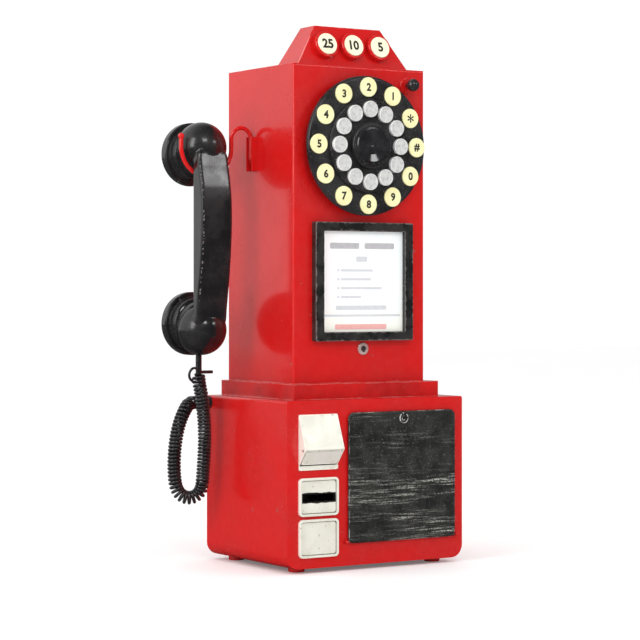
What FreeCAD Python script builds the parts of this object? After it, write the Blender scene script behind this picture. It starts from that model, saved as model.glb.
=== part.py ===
import FreeCAD, Part
import math
import os

# A small table-top model of a wall payphone: a folded sheet-metal cabinet with a
# push-button dial, coin buttons, a coin return, a vault door and a handset on a wire hook.
# Millimetres. The model is laid out with X = 0 on the cabinet's middle plane, Y = 0 at the
# tower's front and Z = 0 on the table, then moved so that the origin is at the bottom
# centre of the whole object. +Y points to the back, so pushing a key moves it along +Y.

os.makedirs("parts", exist_ok=True)
V = FreeCAD.Vector

# ------------------------------------------------------------------ cabinet sizes
wall = 1.5                  # folded sheet of every housing
panel_gap = 0.3             # air between a moving piece and the cabinet
foot_height = 4.5
foot_radius = 7.5
base_width = 193.0
base_front = -28.0          # the base stands this far ahead of the tower
base_height = 151.0
base_corner = 12.0          # rounded lower corners
edge_round = 2.0            # folded edges of the housings
plinth_width = 161.0
plinth_front = -13.0
plinth_height = 14.0
tower_width = 145.0
tower_depth = 117.0
tower_height = 292.5
crown_height = 38.0
crown_bottom_width = 123.0
crown_top_width = 73.0
crown_bottom_front = 11.0
crown_top_front = 21.0
crown_bottom_back = 48.0
crown_top_back = 46.0
cover_thickness = 1.5
screw_head_radius = 3.0
screw_head_height = 1.5
screw_shank_radius = 1.4

base_bottom = foot_height
base_top = base_bottom + base_height
tower_bottom = base_top + plinth_height
tower_top = tower_bottom + tower_height
crown_top = tower_top + crown_height
tower_side = tower_width / 2
base_side = base_width / 2
back = tower_depth

# ------------------------------------------------------------------ dial sizes
dial_radius = 64.5
dial_thickness = 13.5            # front face to tower
dial_rim_thickness = 4.5         # only the disc itself; a smaller boss carries it
dial_boss_radius = 46.0
dial_height_in_tower = 218.5     # dial centre above the tower's bottom
dial_edge_round = 3.0
inner_ring_radius = 43.0
inner_ring_thickness = 3.0
number_disc_radius = 9.0
number_disc_pitch = 54.0
number_disc_thickness = 2.5
number_disc_seat = 1.0
key_radius = 7.5
key_pitch = 33.5
key_stand = 3.0                  # key face above the inner ring
key_pocket = 5.0                 # depth of the key's pocket in the dial plate
key_travel = 1.5
key_stem_radius = 2.2
key_clearance = 0.3
key_count = 12
hub_ring_radius = 21.0
hub_ring_height = 5.0
hub_cap_radius = 17.0
hub_cap_height = 6.0
hub_dish_depth = 1.6
stem_window_radius = 44.0        # hole in the tower behind the dial
board_thickness = 1.6
keypad_board_radius = 54.0
keypad_board_gap = 4.5
dial_z = tower_bottom + dial_height_in_tower

# ------------------------------------------------------------------ crown buttons
button_radius = 10.15
button_collar_radius = 12.5
button_collar_height = 6.0
button_spacing = 29.3
button_stand = 1.0               # button face above its collar
button_travel = 2.0
button_stem_radius = 4.0
button_stem_length = 9.0
button_clearance = 0.3

# ------------------------------------------------------------------ release knob
knob_x = 52.7
knob_height_in_tower = 277.2
knob_ball_radius = 6.0
knob_stem_radius = 2.0
knob_collar_radius = 8.0
knob_collar_height = 1.5
knob_travel = 3.0
knob_z = tower_bottom + knob_height_in_tower

# ------------------------------------------------------------------ card and its lock
card_frame_width = 108.0
card_frame_height = 109.5
card_frame_side_bar = 9.0
card_frame_top_bar = 8.0
card_frame_depth = 7.0
card_frame_x = 1.5
card_frame_lift = 38.5           # frame's lower edge above the tower's bottom
card_thickness = 0.8
card_recess = 4.5                # card face behind the frame's face
card_clearance = 0.3
lock_ring_radius = 5.75
lock_ring_height = 1.6
lock_core_radius = 2.6
lock_x = 3.0
lock_lift = 31.0
cam_length = 11.0
cam_width = 4.0
cam_thickness = 1.5
cam_gap = 0.6
running_clearance = 0.3
card_lock_z = tower_bottom + lock_lift

# ------------------------------------------------------------------ coin column
column_left = -84.5
hood_width = 41.5
hood_bottom = 93.0
hood_height = 50.0
hood_reach = 12.0                # ridge ahead of the base front
hood_ridge_lift = 19.0           # ridge above the hood's bottom edge
hood_sheet = 1.2
hood_flange = 4.0
flap_barrel_radius = 1.8
flap_pin_radius = 1.0
flap_pin_behind_ridge = 3.6
flap_pin_below_ridge = 0.8
flap_side_gap = 0.4
pocket_depth = 28.0
pocket_height = 37.0
frame_width = 42.0
frame_height = 34.5
frame_bar = 2.2
frame_corner = 4.0
frame_proud = 2.6
slot_frame_bottom = 51.5
blank_frame_bottom = 14.2
plate_thickness = 1.2
slot_width = 34.5
slot_height = 6.5
slot_below_top = 18.0            # slot centre below the slot frame's top
chute_floor_drop = 8.0
chute_depth = 28.0

# ------------------------------------------------------------------ vault
vault_left = -32.5
vault_width = 119.0
vault_bottom = 24.7
vault_height = 119.0
vault_corner = 6.0
vault_thickness = 3.0
vault_gap = 0.4                  # air between the door and the base front
vault_overlap = 2.0              # door edge past the opening, top and sides
vault_sill = 4.0                 # the same along the hinge
vault_pin_radius = 0.7
vault_pin_bore = 0.8
vault_lug_width = 3.0
vault_lug_gap = 0.4
vault_lock_below_top = 6.5
vault_lock_ring_radius = 5.0
vault_lock_core_radius = 2.6
coin_box_left = -26.0
coin_box_right = 84.0
coin_box_depth = 102.0
coin_box_height = 41.0

# ------------------------------------------------------------------ handset and hook
hook_y = 69.5
hook_wire_radius = 2.0
hook_u_radius = 26.5
hook_tail_x = -76.0
hook_tail_bottom = 374.0
hook_bend = 4.0
hook_inner_reach = -62.0
hook_ball_radius = 3.0
hook_outer_leg = 9.5             # outer leg above the U's centre
hook_arch_lift = 8.5             # inner arch springs this far above the U's centre
hook_travel = 4.0
hook_slot_clearance = 0.6
cup_radius = 29.5
cup_neck_radius = 18.8
cup_body_radius = 23.5
cup_front = 57.0                 # Y of the handset's front over a cup
cup_shoulder = 66.0
cup_step = 75.0                  # here the neck widens to the cup's body
cap_front = 94.5
cap_back = 104.5
cap_plate = 4.0
spigot_radius = 25.0
spigot_length = 4.5
cup_wall = 4.8
capsule_length = 10.0
capsule_clearance = 0.4
handset_x = -124.0
ear_z = 381.3
mouth_z = 223.7
handle_width = 32.0
handle_front = 52.0
handle_back = 66.8
handle_chamfer = 4.0
sound_hole_radius = 1.5
sound_hole_pitch = 9.0
stud_radius = 2.85
stud_length = 17.0               # below the cap's edge
stud_y = 84.0
stub_radius = 1.5
stub_length = 14.5

# ------------------------------------------------------------------ curly cord
cord_radius = 6.3                # outside of the coils
gland_radius = 4.6
gland_length = 6.0
gland_y = 112.0
gland_z = 149.0
cord_middle = [
    (-124.0, 84.0, 170.5), (-121.2, 84.2, 159.0), (-118.4, 85.0, 143.0),
    (-116.2, 86.0, 122.0), (-116.2, 87.3, 102.0), (-116.9, 88.5, 84.0),
    (-117.4, 89.8, 69.0), (-124.0, 91.8, 61.6), (-134.0, 94.4, 61.8),
    (-140.8, 96.6, 69.4), (-142.2, 98.2, 84.0), (-141.4, 99.4, 102.0),
    (-138.6, 100.5, 119.0), (-134.0, 101.6, 133.0), (-128.0, 103.2, 143.0),
    (-120.5, 108.6, 149.0),
]
cord_last_run = 8.5


# ------------------------------------------------------------------ helpers
def block(x0, x1, y0, y1, z0, z1):
    return Part.makeBox(x1 - x0, y1 - y0, z1 - z0, V(x0, y0, z0))


def rod(x, y0, y1, z, radius):
    """A round bar along Y."""
    return Part.makeCylinder(radius, y1 - y0, V(x, y0, z), V(0, 1, 0))


def bar(x0, x1, y, z, radius):
    """A round bar along X."""
    return Part.makeCylinder(radius, x1 - x0, V(x0, y, z), V(1, 0, 0))


def joined(shapes):
    whole = shapes[0]
    for shape in shapes[1:]:
        whole = whole.fuse(shape)
    return whole.removeSplitter()


def lies_along(edge, axis):
    """True for a straight edge parallel to the axis 'x', 'y' or 'z'."""
    direction = edge.tangentAt(edge.FirstParameter)
    return edge.Curve.TypeId == "Part::GeomLine" and abs(getattr(direction, axis)) > 0.99


def plate(x0, x1, z0, z1, y0, y1, corner):
    """A flat plate facing along Y, with rounded corners."""
    flat = block(x0, x1, y0, y1, z0, z1)
    return flat.makeFillet(corner, [edge for edge in flat.Edges if lies_along(edge, "y")])


def prism_yz(points, x0, x1):
    """An outline in the YZ plane, pulled along X."""
    ring = [V(x0, y, z) for y, z in points]
    return Part.Face(Part.makePolygon(ring + ring[:1])).extrude(V(x1 - x0, 0, 0))


def prism_xz(points, y0, y1):
    """An outline in the XZ plane, pulled along Y."""
    ring = [V(x, y0, z) for x, z in points]
    return Part.Face(Part.makePolygon(ring + ring[:1])).extrude(V(0, y1 - y0, 0))


def turned(profile, x, z):
    """A (radius, y) outline turned about the Y line through x, z."""
    ring = [V(x + radius, y, z) for radius, y in profile]
    face = Part.Face(Part.makePolygon(ring + ring[:1]))
    return face.revolve(V(x, 0, z), V(0, 1, 0), 360)


def round_edges(shape, radius, wanted):
    edges = [edge for edge in shape.Edges if wanted(edge)]
    return shape.makeFillet(radius, edges)


def swept(edges, radius):
    """A round wire along a path of lines and tangent arcs."""
    path = Part.Wire(edges)
    start = path.OrderedEdges[0]
    first = start.valueAt(start.FirstParameter)
    circle = Part.Wire([Part.Circle(first, start.tangentAt(start.FirstParameter), radius).toShape()])
    return path.makePipeShell([circle], True, True)


def line(first, second):
    return Part.LineSegment(first, second).toShape()


def arc(first, middle, last):
    return Part.Arc(first, middle, last).toShape()


nodes = {}


# ------------------------------------------------------------------ cabinet
def base_outline(inset, y0, y1):
    """The base's cross-section: square top corners, round lower ones."""
    solid = block(inset - base_side, base_side - inset, y0, y1, base_bottom + inset, base_top - inset)
    lower = [e for e in solid.Edges if lies_along(e, "y") and e.CenterOfMass.z < base_bottom + base_corner]
    return solid.makeFillet(base_corner - inset, lower)


inner_front = base_front + wall          # back face of the base's front panel
hood_left = column_left
hood_right = column_left + hood_width
hood_top = hood_bottom + hood_height
ridge_y = base_front - hood_reach
ridge_z = hood_bottom + hood_ridge_lift
flap_left = hood_left + hood_sheet + 2 * flap_side_gap
flap_right = hood_right - hood_sheet - 2 * flap_side_gap
pocket_left = flap_left - flap_side_gap
pocket_right = flap_right + flap_side_gap
flap_pin_y = ridge_y + flap_pin_behind_ridge
flap_pin_z = ridge_z - flap_pin_below_ridge
slot_z = slot_frame_bottom + frame_height - slot_below_top
column_middle = column_left + hood_width / 2
frame_left = column_middle - frame_width / 2
frame_right = column_middle + frame_width / 2
vault_right = vault_left + vault_width
vault_top = vault_bottom + vault_height
vault_middle = (vault_left + vault_right) / 2
door_back = base_front - vault_gap
door_front = door_back - vault_thickness
door_axis_y = (door_front + door_back) / 2
door_axis_z = vault_bottom + vault_thickness / 2
vault_lock_z = vault_top - vault_lock_below_top
screw_inset = 9.0


def hinge_lug(x0):
    """A small eye on the base front that carries one end of the vault's hinge pin."""
    half = vault_thickness / 2
    eye = bar(x0, x0 + vault_lug_width, door_axis_y, door_axis_z, half)
    foot = block(x0, x0 + vault_lug_width, door_axis_y, base_front, door_axis_z - half, door_axis_z + half)
    return joined([eye, foot]).cut(bar(x0, x0 + vault_lug_width, door_axis_y, door_axis_z, vault_pin_radius))


def base_housing():
    shell = base_outline(0, base_front, back).cut(base_outline(wall, inner_front, back))
    shell = round_edges(shell, edge_round, lambda e: lies_along(e, "y")
                        and e.CenterOfMass.z > base_top - 0.1 and abs(e.CenterOfMass.x) > base_side - 0.1)
    through = [
        block(pocket_left, pocket_right, base_front, inner_front, hood_bottom + hood_flange,
              hood_bottom + pocket_height),
        block(column_middle - slot_width / 2, column_middle + slot_width / 2, base_front, inner_front,
              slot_z - slot_height / 2, slot_z + slot_height / 2),
        plate(vault_left + vault_overlap, vault_right - vault_overlap, vault_bottom + vault_sill,
              vault_top - vault_overlap, base_front, inner_front, vault_corner - vault_overlap),
        block(-tower_side + 4 * wall, tower_side - 4 * wall, plinth_front + 4 * wall, back - 4 * wall,
              base_top - wall, base_top),
        bar(-base_side, wall - base_side, gland_y, gland_z, gland_radius - 1),
    ]
    for x in (vault_left - vault_lug_gap - vault_lug_width, vault_right + vault_lug_gap):
        shell = shell.fuse(hinge_lug(x))
    for hole in through:
        shell = shell.cut(hole)
    for x, z in screw_places(base_side, base_bottom, base_top):
        shell = shell.fuse(screw_boss(x, z)).cut(screw_hole(x, z))
    return shell.removeSplitter()


def screw_places(side, low, high):
    """The four corner screws of a rear cover."""
    return [(sign * (side - screw_inset), z) for sign in (-1, 1)
            for z in (low + base_corner + screw_inset, high - 2 * screw_inset)]


boss_depth = 8.0


def screw_boss(x, z):
    """A folded ear inside the housing, from its side wall to the screw."""
    reach = screw_inset - wall / 2
    x0, x1 = (x - screw_inset / 2, x + reach) if x > 0 else (x - reach, x + screw_inset / 2)
    half = screw_inset / 2
    return block(x0, x1, back - boss_depth, back, z - half, z + half)


def screw_hole(x, z):
    return rod(x, back - boss_depth, back, z, screw_shank_radius)


def rear_cover(side, low, high, corner):
    cover = block(-side, side, back, back + cover_thickness, low, high)
    if corner > 0:
        lower = [e for e in cover.Edges if lies_along(e, "y") and e.CenterOfMass.z < low + corner]
        cover = cover.makeFillet(corner, lower)
    return cover


def cover_with_holes(cover, side, low, high):
    for x, z in screw_places(side, low, high):
        cover = cover.cut(rod(x, back, back + cover_thickness, z, screw_shank_radius))
    return cover


def screw(x, z):
    head = rod(x, back + cover_thickness, back + cover_thickness + screw_head_height, z, screw_head_radius)
    shank = rod(x, back - boss_depth + 1, back + cover_thickness, z, screw_shank_radius)
    drive = block(x - screw_head_radius, x + screw_head_radius, back + cover_thickness + 0.8,
                  back + cover_thickness + screw_head_height, z - 0.4, z + 0.4)
    return joined([head, shank]).cut(drive)


cover_margin = 1.0
nodes["base_housing"] = base_housing()
nodes["base_rear_cover"] = cover_with_holes(
    rear_cover(base_side - cover_margin, base_bottom + cover_margin, base_top - cover_margin,
               base_corner - cover_margin), base_side, base_bottom, base_top)
nodes["tower_rear_cover"] = cover_with_holes(
    rear_cover(tower_side - cover_margin, tower_bottom + cover_margin, tower_top - cover_margin, 0),
    tower_side, tower_bottom, tower_top)
nodes["cover_screws"] = Part.makeCompound(
    [screw(x, z) for x, z in screw_places(base_side, base_bottom, base_top)]
    + [screw(x, z) for x, z in screw_places(tower_side, tower_bottom, tower_top)])

foot_inset_x = 21.5
foot_inset_y = 19.0
foot_places = [(sign * (base_side - foot_inset_x), y) for sign in (-1, 1)
               for y in (base_front + foot_inset_y, back - foot_inset_y)]
nodes["feet"] = Part.makeCompound([
    round_edges(Part.makeCylinder(foot_radius, foot_height, V(x, y, 0)), 1.0,
                lambda e: e.CenterOfMass.z < 0.1 and e.Curve.TypeId == "Part::GeomCircle")
    for x, y in foot_places])

plinth_side = plinth_width / 2
collar = block(-plinth_side, plinth_side, plinth_front, back, base_top, tower_bottom)
collar = round_edges(collar, edge_round, lambda e: lies_along(e, "z") and e.CenterOfMass.y < plinth_front + 0.1)
collar = collar.cut(block(wall - plinth_side, plinth_side - wall, plinth_front + wall, back - wall,
                          base_top, tower_bottom - wall))
nodes["plinth_collar"] = collar.cut(
    block(-tower_side + 4 * wall, tower_side - 4 * wall, 4 * wall, back - 4 * wall,
          tower_bottom - wall, tower_bottom))

hook_slot_bottom = hook_tail_bottom - hook_wire_radius - hook_slot_clearance
hook_slot_top = hook_tail_bottom + hook_travel + hook_wire_radius + hook_slot_clearance
hook_slot_half = hook_wire_radius + hook_slot_clearance


def tower_housing():
    shell = block(-tower_side, tower_side, 0, back, tower_bottom, tower_top)
    shell = round_edges(shell, edge_round, lambda e: e.CenterOfMass.y < 0.1 and e.CenterOfMass.z > tower_bottom + 1)
    shell = shell.cut(block(wall - tower_side, tower_side - wall, wall, back, tower_bottom, tower_top - wall))
    for hole in (
        rod(0, 0, wall, dial_z, stem_window_radius),
        rod(knob_x, 0, wall, knob_z, knob_stem_radius + running_clearance),
        rod(lock_x, 0, wall, card_lock_z, lock_core_radius + running_clearance),
        block(-tower_side, wall - tower_side, hook_y - hook_slot_half, hook_y + hook_slot_half,
              hook_slot_bottom, hook_slot_top),
    ):
        shell = shell.cut(hole)
    for x, z in screw_places(tower_side, tower_bottom, tower_top):
        shell = shell.fuse(screw_boss(x, z)).cut(screw_hole(x, z))
    return shell.removeSplitter()


nodes["tower_housing"] = tower_housing()

# ------------------------------------------------------------------ crown and coin buttons
crown_lean = math.atan2(crown_top_front - crown_bottom_front, crown_height)
press = V(0, math.cos(crown_lean), -math.sin(crown_lean))
crown_face = V(0, (crown_bottom_front + crown_top_front) / 2, tower_top + crown_height / 2)


def crown_block(inset, top_inset):
    """The crown's four-sided block, drawn in by an inset on its sloping sides."""
    def ring(half, front, rear, z):
        corners = [V(-half, front, z), V(half, front, z), V(half, rear, z), V(-half, rear, z)]
        return Part.makePolygon(corners + corners[:1])

    low = ring(crown_bottom_width / 2 - inset, crown_bottom_front + inset, crown_bottom_back - inset, tower_top)
    high = ring(crown_top_width / 2 - inset, crown_top_front + inset, crown_top_back - inset,
                crown_top - top_inset)
    return Part.makeLoft([low, high], True)


def on_crown(x, depth0, depth1, radius):
    """A round bar square to the crown's face; depth grows into the crown."""
    start = crown_face + V(x, 0, 0) + press * depth0
    return Part.makeCylinder(radius, depth1 - depth0, start, press)


button_places = {"25": -button_spacing, "10": 0.0, "5": button_spacing}
crown = crown_block(0, 0)
crown = round_edges(crown, 1.0, lambda e: e.CenterOfMass.z > tower_top + 1)
crown = crown.cut(crown_block(wall, wall))
for x in button_places.values():
    crown = crown.cut(on_crown(x, -1, 2 * wall, button_stem_radius + button_clearance))
nodes["crown_housing"] = crown

nodes["coin_button_collars"] = Part.makeCompound([
    round_edges(on_crown(x, -button_collar_height, 0, button_collar_radius), 1.2,
                lambda e: e.Curve.TypeId == "Part::GeomCircle"
                and (e.CenterOfMass - crown_face - V(x, 0, 0)).Length > 1)
    .cut(on_crown(x, -button_collar_height, 0, button_radius + button_clearance))
    for x in button_places.values()])
button_back = -button_travel - 0.4
for value, x in button_places.items():
    cap = on_crown(x, -button_collar_height - button_stand, button_back, button_radius)
    face = crown_face + V(x, 0, 0) - press * (button_collar_height + button_stand)
    cap = round_edges(cap, 0.8, lambda e: (e.CenterOfMass - face).Length < 0.1)
    nodes["coin_button_" + value] = joined([cap, on_crown(x, button_back, button_stem_length, button_stem_radius)])

switch_board_y = crown_bottom_front + 22.0
switch_board_height = 27.0
switch_board_side = 38.0
nodes["coin_switch_board"] = block(-switch_board_side, switch_board_side, switch_board_y,
                                   switch_board_y + board_thickness, tower_top,
                                   tower_top + switch_board_height)

# ------------------------------------------------------------------ dial
ring_face = -dial_thickness - inner_ring_thickness
key_face = ring_face - key_stand
key_back = -dial_thickness + key_pocket - key_travel - 0.8
key_stem_end = 3.5


def around(index, pitch, count=key_count):
    """Place of one of the equal steps, clockwise from the top, about the dial's centre."""
    angle = 2 * math.pi * index / count
    return pitch * math.sin(angle), dial_z + pitch * math.cos(angle)


dial = rod(0, -dial_thickness, 0, dial_z, dial_radius)
dial = round_edges(dial, dial_edge_round, lambda e: e.CenterOfMass.y < -dial_thickness + 0.1)
dial = dial.cut(rod(0, dial_rim_thickness - dial_thickness, 0, dial_z, dial_radius + 1).cut(
    rod(0, dial_rim_thickness - dial_thickness, 0, dial_z, dial_boss_radius)))
dial_ring = rod(0, ring_face, -dial_thickness, dial_z, inner_ring_radius)
dial_ring = round_edges(dial_ring, 1.0, lambda e: e.CenterOfMass.y < ring_face + 0.1)
number_discs = []
for index in range(key_count):
    x, z = around(index, key_pitch)
    dial = dial.cut(rod(x, -dial_thickness, -dial_thickness + key_pocket, z, key_radius + key_clearance))
    dial = dial.cut(rod(x, -dial_thickness, 0, z, key_stem_radius + key_clearance))
    dial_ring = dial_ring.cut(rod(x, ring_face, -dial_thickness, z, key_radius + key_clearance))
    x, z = around(index, number_disc_pitch)
    seat = -dial_thickness + number_disc_seat
    dial = dial.cut(rod(x, -dial_thickness, seat, z, number_disc_radius))
    disc = rod(x, seat - number_disc_thickness, seat, z, number_disc_radius)
    number_discs.append(round_edges(disc, 0.5, lambda e: e.CenterOfMass.y < seat - number_disc_thickness + 0.1))
nodes["dial_plate"] = dial
nodes["dial_inner_ring"] = dial_ring
nodes["dial_number_discs"] = Part.makeCompound(number_discs)

key_rim = 1.1
key_dish = 0.5
for index in range(key_count):
    x, z = around(index, key_pitch)
    cap = rod(x, key_face, key_back, z, key_radius)
    cap = round_edges(cap, 0.6, lambda e: e.CenterOfMass.y < key_face + 0.1)
    cap = cap.cut(rod(x, key_face, key_face + key_dish, z, key_radius - key_rim))
    stem = rod(x, key_back, key_stem_end, z, key_stem_radius)
    nodes["dial_key_%02d" % (index + 1)] = joined([cap, stem])

hub_front = ring_face - hub_ring_height
hub = rod(0, hub_front, ring_face, dial_z, hub_ring_radius)
hub = round_edges(hub, 2.2, lambda e: e.CenterOfMass.y < hub_front + 0.1)
nodes["dial_hub_ring"] = hub.cut(rod(0, hub_front, ring_face, dial_z, hub_cap_radius))
hub_cap_front = ring_face - hub_cap_height
hub_rim = 2.0
nodes["dial_hub_cap"] = turned([
    (0, hub_cap_front + hub_dish_depth), (hub_cap_radius * 0.5, hub_cap_front + hub_dish_depth * 0.75),
    (hub_cap_radius - hub_rim, hub_cap_front), (hub_cap_radius - 0.6, hub_cap_front + 0.2),
    (hub_cap_radius - 0.05, hub_cap_front + 0.9), (hub_cap_radius - 0.05, ring_face), (0, ring_face)], 0, dial_z)

board_front = wall + keypad_board_gap
board = rod(0, board_front, board_front + board_thickness, dial_z, keypad_board_radius)
post_pitch = (stem_window_radius + keypad_board_radius) / 2
for index in range(4):
    x, z = around(index + 0.5, post_pitch, 4)
    board = board.fuse(rod(x, wall, board_front, z, 3.0))
nodes["keypad_board"] = board.removeSplitter()

# ------------------------------------------------------------------ release knob
knob_neck = 4.0
knob_ball_y = -knob_collar_height - knob_travel - knob_ball_radius
nodes["release_knob_collar"] = round_edges(
    rod(knob_x, -knob_collar_height, 0, knob_z, knob_collar_radius), 1.0,
    lambda e: e.CenterOfMass.y < -knob_collar_height + 0.1).cut(
        rod(knob_x, -knob_collar_height, 0, knob_z, knob_stem_radius + running_clearance))
ball = Part.makeSphere(knob_ball_radius, V(knob_x, knob_ball_y, knob_z))
shaft = rod(knob_x, knob_ball_y, wall + 8.0, knob_z, knob_stem_radius)
nodes["release_knob"] = joined([ball, shaft])

# ------------------------------------------------------------------ card and its lock
card_left = card_frame_x - card_frame_width / 2
card_right = card_frame_x + card_frame_width / 2
card_low = tower_bottom + card_frame_lift
card_high = card_low + card_frame_height
frame_face = -card_frame_depth
outer = plate(card_left, card_right, card_low, card_high, frame_face, 0, 1.5)
outer = round_edges(outer, 0.8, lambda e: e.CenterOfMass.y < frame_face + 0.1)
nodes["card_frame"] = outer.cut(block(
    card_left + card_frame_side_bar, card_right - card_frame_side_bar, frame_face, 0,
    card_low + card_frame_top_bar, card_high - card_frame_top_bar))
card_face = frame_face + card_recess
nodes["instruction_card"] = block(
    card_left + card_frame_side_bar + card_clearance, card_right - card_frame_side_bar - card_clearance,
    card_face, 0, card_low + card_frame_top_bar + card_clearance,
    card_high - card_frame_top_bar - card_clearance)


def lock_ring(x, z, front, face, radius, core):
    ring = rod(x, front, face, z, radius)
    ring = round_edges(ring, 0.7, lambda e: e.CenterOfMass.y < front + 0.1)
    return ring.cut(rod(x, front, face, z, core + running_clearance))


def lock_plug(x, z, front, cam_y, core):
    """A turning lock plug with its keyway and a cam that lies sideways when unlocked."""
    plug = rod(x, front, cam_y + cam_thickness, z, core)
    cam = block(x, x + cam_length, cam_y, cam_y + cam_thickness, z - cam_width / 2, z + cam_width / 2)
    keyway = block(x - 0.4, x + 0.4, front, front + 1.5, z - core * 0.7, z + core * 0.7)
    return joined([plug, cam]).cut(keyway)


nodes["lock_escutcheon"] = lock_ring(lock_x, card_lock_z, -lock_ring_height, 0, lock_ring_radius, lock_core_radius)
nodes["lock_core"] = lock_plug(lock_x, card_lock_z, -lock_ring_height + 0.5, wall + cam_gap, lock_core_radius)

# ------------------------------------------------------------------ coin return
hood_outline = [(base_front, hood_top), (ridge_y, ridge_z), (base_front, hood_bottom + hood_flange)]
slope = math.atan2(hood_reach, hood_top - ridge_z)
face_shift = hood_sheet / math.cos(slope)
hood = prism_yz(hood_outline, hood_left, hood_right)
hood = hood.cut(prism_yz(
    [(base_front, hood_top - face_shift / math.tan(slope)),
     (ridge_y + face_shift, ridge_z), (ridge_y, ridge_z - 1.2), (ridge_y, hood_bottom),
     (base_front, hood_bottom)],
    hood_left + hood_sheet, hood_right - hood_sheet))
hood = hood.fuse(block(hood_left, hood_right, base_front - hood_sheet, base_front, hood_bottom,
                       hood_bottom + hood_flange))
hood_pin_hole = bar(hood_left - 1, hood_right + 1, flap_pin_y, flap_pin_z, flap_pin_radius)
nodes["coin_return_hood"] = hood.cut(hood_pin_hole).removeSplitter()

flap_top_y, flap_top_z = ridge_y + 1.5, ridge_z - 2.4
flap_tip_y, flap_tip_z = base_front - hood_sheet - 0.4, hood_bottom + hood_flange + 1.0
flap_length = math.hypot(flap_tip_y - flap_top_y, flap_tip_z - flap_top_z)
along = ((flap_tip_y - flap_top_y) / flap_length, (flap_tip_z - flap_top_z) / flap_length)
inward = (-along[1] * hood_sheet, along[0] * hood_sheet)
flap = prism_yz([(flap_top_y, flap_top_z), (flap_tip_y, flap_tip_z),
                 (flap_tip_y + inward[0], flap_tip_z + inward[1]),
                 (flap_top_y + inward[0], flap_top_z + inward[1])], flap_left, flap_right)
flap = joined([flap, bar(flap_left, flap_right, flap_pin_y, flap_pin_z, flap_barrel_radius)])
nodes["coin_return_flap"] = flap.cut(
    bar(flap_left, flap_right, flap_pin_y, flap_pin_z, flap_pin_radius + 0.05))

cup_y = inner_front
cup = block(pocket_left - hood_sheet, pocket_right + hood_sheet, cup_y, cup_y + pocket_depth,
            hood_bottom + hood_flange - hood_sheet, hood_bottom + pocket_height + hood_sheet)
nodes["coin_return_cup"] = cup.cut(block(
    pocket_left, pocket_right, cup_y, cup_y + pocket_depth - hood_sheet,
    hood_bottom + hood_flange, hood_bottom + pocket_height))

# ------------------------------------------------------------------ slot and blank plates
def column_frame(bottom):
    front = base_front - frame_proud
    ring = plate(frame_left, frame_right, bottom, bottom + frame_height, front, base_front, frame_corner)
    ring = round_edges(ring, 0.7, lambda e: e.CenterOfMass.y < front + 0.1)
    return ring.cut(plate(frame_left + frame_bar, frame_right - frame_bar, bottom + frame_bar,
                          bottom + frame_height - frame_bar, front, base_front, frame_corner - frame_bar))


def column_plate(bottom):
    inset = frame_bar + 0.1
    return plate(frame_left + inset, frame_right - inset, bottom + inset, bottom + frame_height - inset,
                 base_front - plate_thickness, base_front, frame_corner - inset)


nodes["column_frames"] = Part.makeCompound([column_frame(slot_frame_bottom), column_frame(blank_frame_bottom)])
nodes["slot_plate"] = column_plate(slot_frame_bottom).cut(block(
    column_middle - slot_width / 2, column_middle + slot_width / 2, base_front - plate_thickness,
    base_front, slot_z - slot_height / 2, slot_z + slot_height / 2))
nodes["blank_plate"] = column_plate(blank_frame_bottom)

chute_left = wall + 0.5 - base_side
chute_right = coin_box_left + 2.0
chute_high = slot_z - slot_height / 2 - chute_floor_drop / 2
chute_low = chute_high - chute_floor_drop
chute_back = inner_front + chute_depth
chute_floor = prism_xz([(chute_left, chute_high), (chute_right, chute_low), (chute_right, chute_low + wall),
                        (chute_left + wall, chute_high + wall), (chute_left + wall, slot_z + slot_height),
                        (chute_left, slot_z + slot_height)], inner_front, chute_back)
chute_wall = prism_xz([(chute_left, chute_high), (chute_right, chute_low), (chute_right, chute_low + 12),
                       (chute_left, slot_z + slot_height)], chute_back - wall, chute_back)
nodes["coin_chute"] = joined([chute_floor, chute_wall])

# ------------------------------------------------------------------ vault
door = plate(vault_left, vault_right, vault_bottom, vault_top, door_front, door_back, vault_corner)
hinge_round = vault_thickness / 2 - 0.02
door = round_edges(door, hinge_round, lambda e: lies_along(e, "x") and e.CenterOfMass.z < vault_bottom + 0.1)
door = door.cut(bar(vault_left, vault_right, door_axis_y, door_axis_z, vault_pin_bore))
door = door.cut(rod(vault_middle, door_front, door_back, vault_lock_z, vault_lock_core_radius + running_clearance))
nodes["vault_door"] = door
pin_end = vault_lug_gap + vault_lug_width
nodes["hinge_pins"] = Part.makeCompound([
    bar(vault_left - pin_end, vault_right + pin_end, door_axis_y, door_axis_z, vault_pin_radius),
    bar(hood_left - 0.6, hood_right + 0.6, flap_pin_y, flap_pin_z, flap_pin_radius)])
nodes["vault_lock_ring"] = lock_ring(vault_middle, vault_lock_z, door_front - lock_ring_height, door_front,
                                     vault_lock_ring_radius, vault_lock_core_radius)
nodes["vault_lock_core"] = lock_plug(vault_middle, vault_lock_z, door_front - lock_ring_height + 0.5,
                                     inner_front + cam_gap, vault_lock_core_radius)
box_front = inner_front + 4.5
box_floor = base_bottom + wall
coin_box = block(coin_box_left, coin_box_right, box_front, box_front + coin_box_depth, box_floor,
                 box_floor + coin_box_height)
nodes["coin_box"] = coin_box.cut(block(
    coin_box_left + wall, coin_box_right - wall, box_front + wall, box_front + coin_box_depth - wall,
    box_floor + wall, box_floor + coin_box_height))

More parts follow.
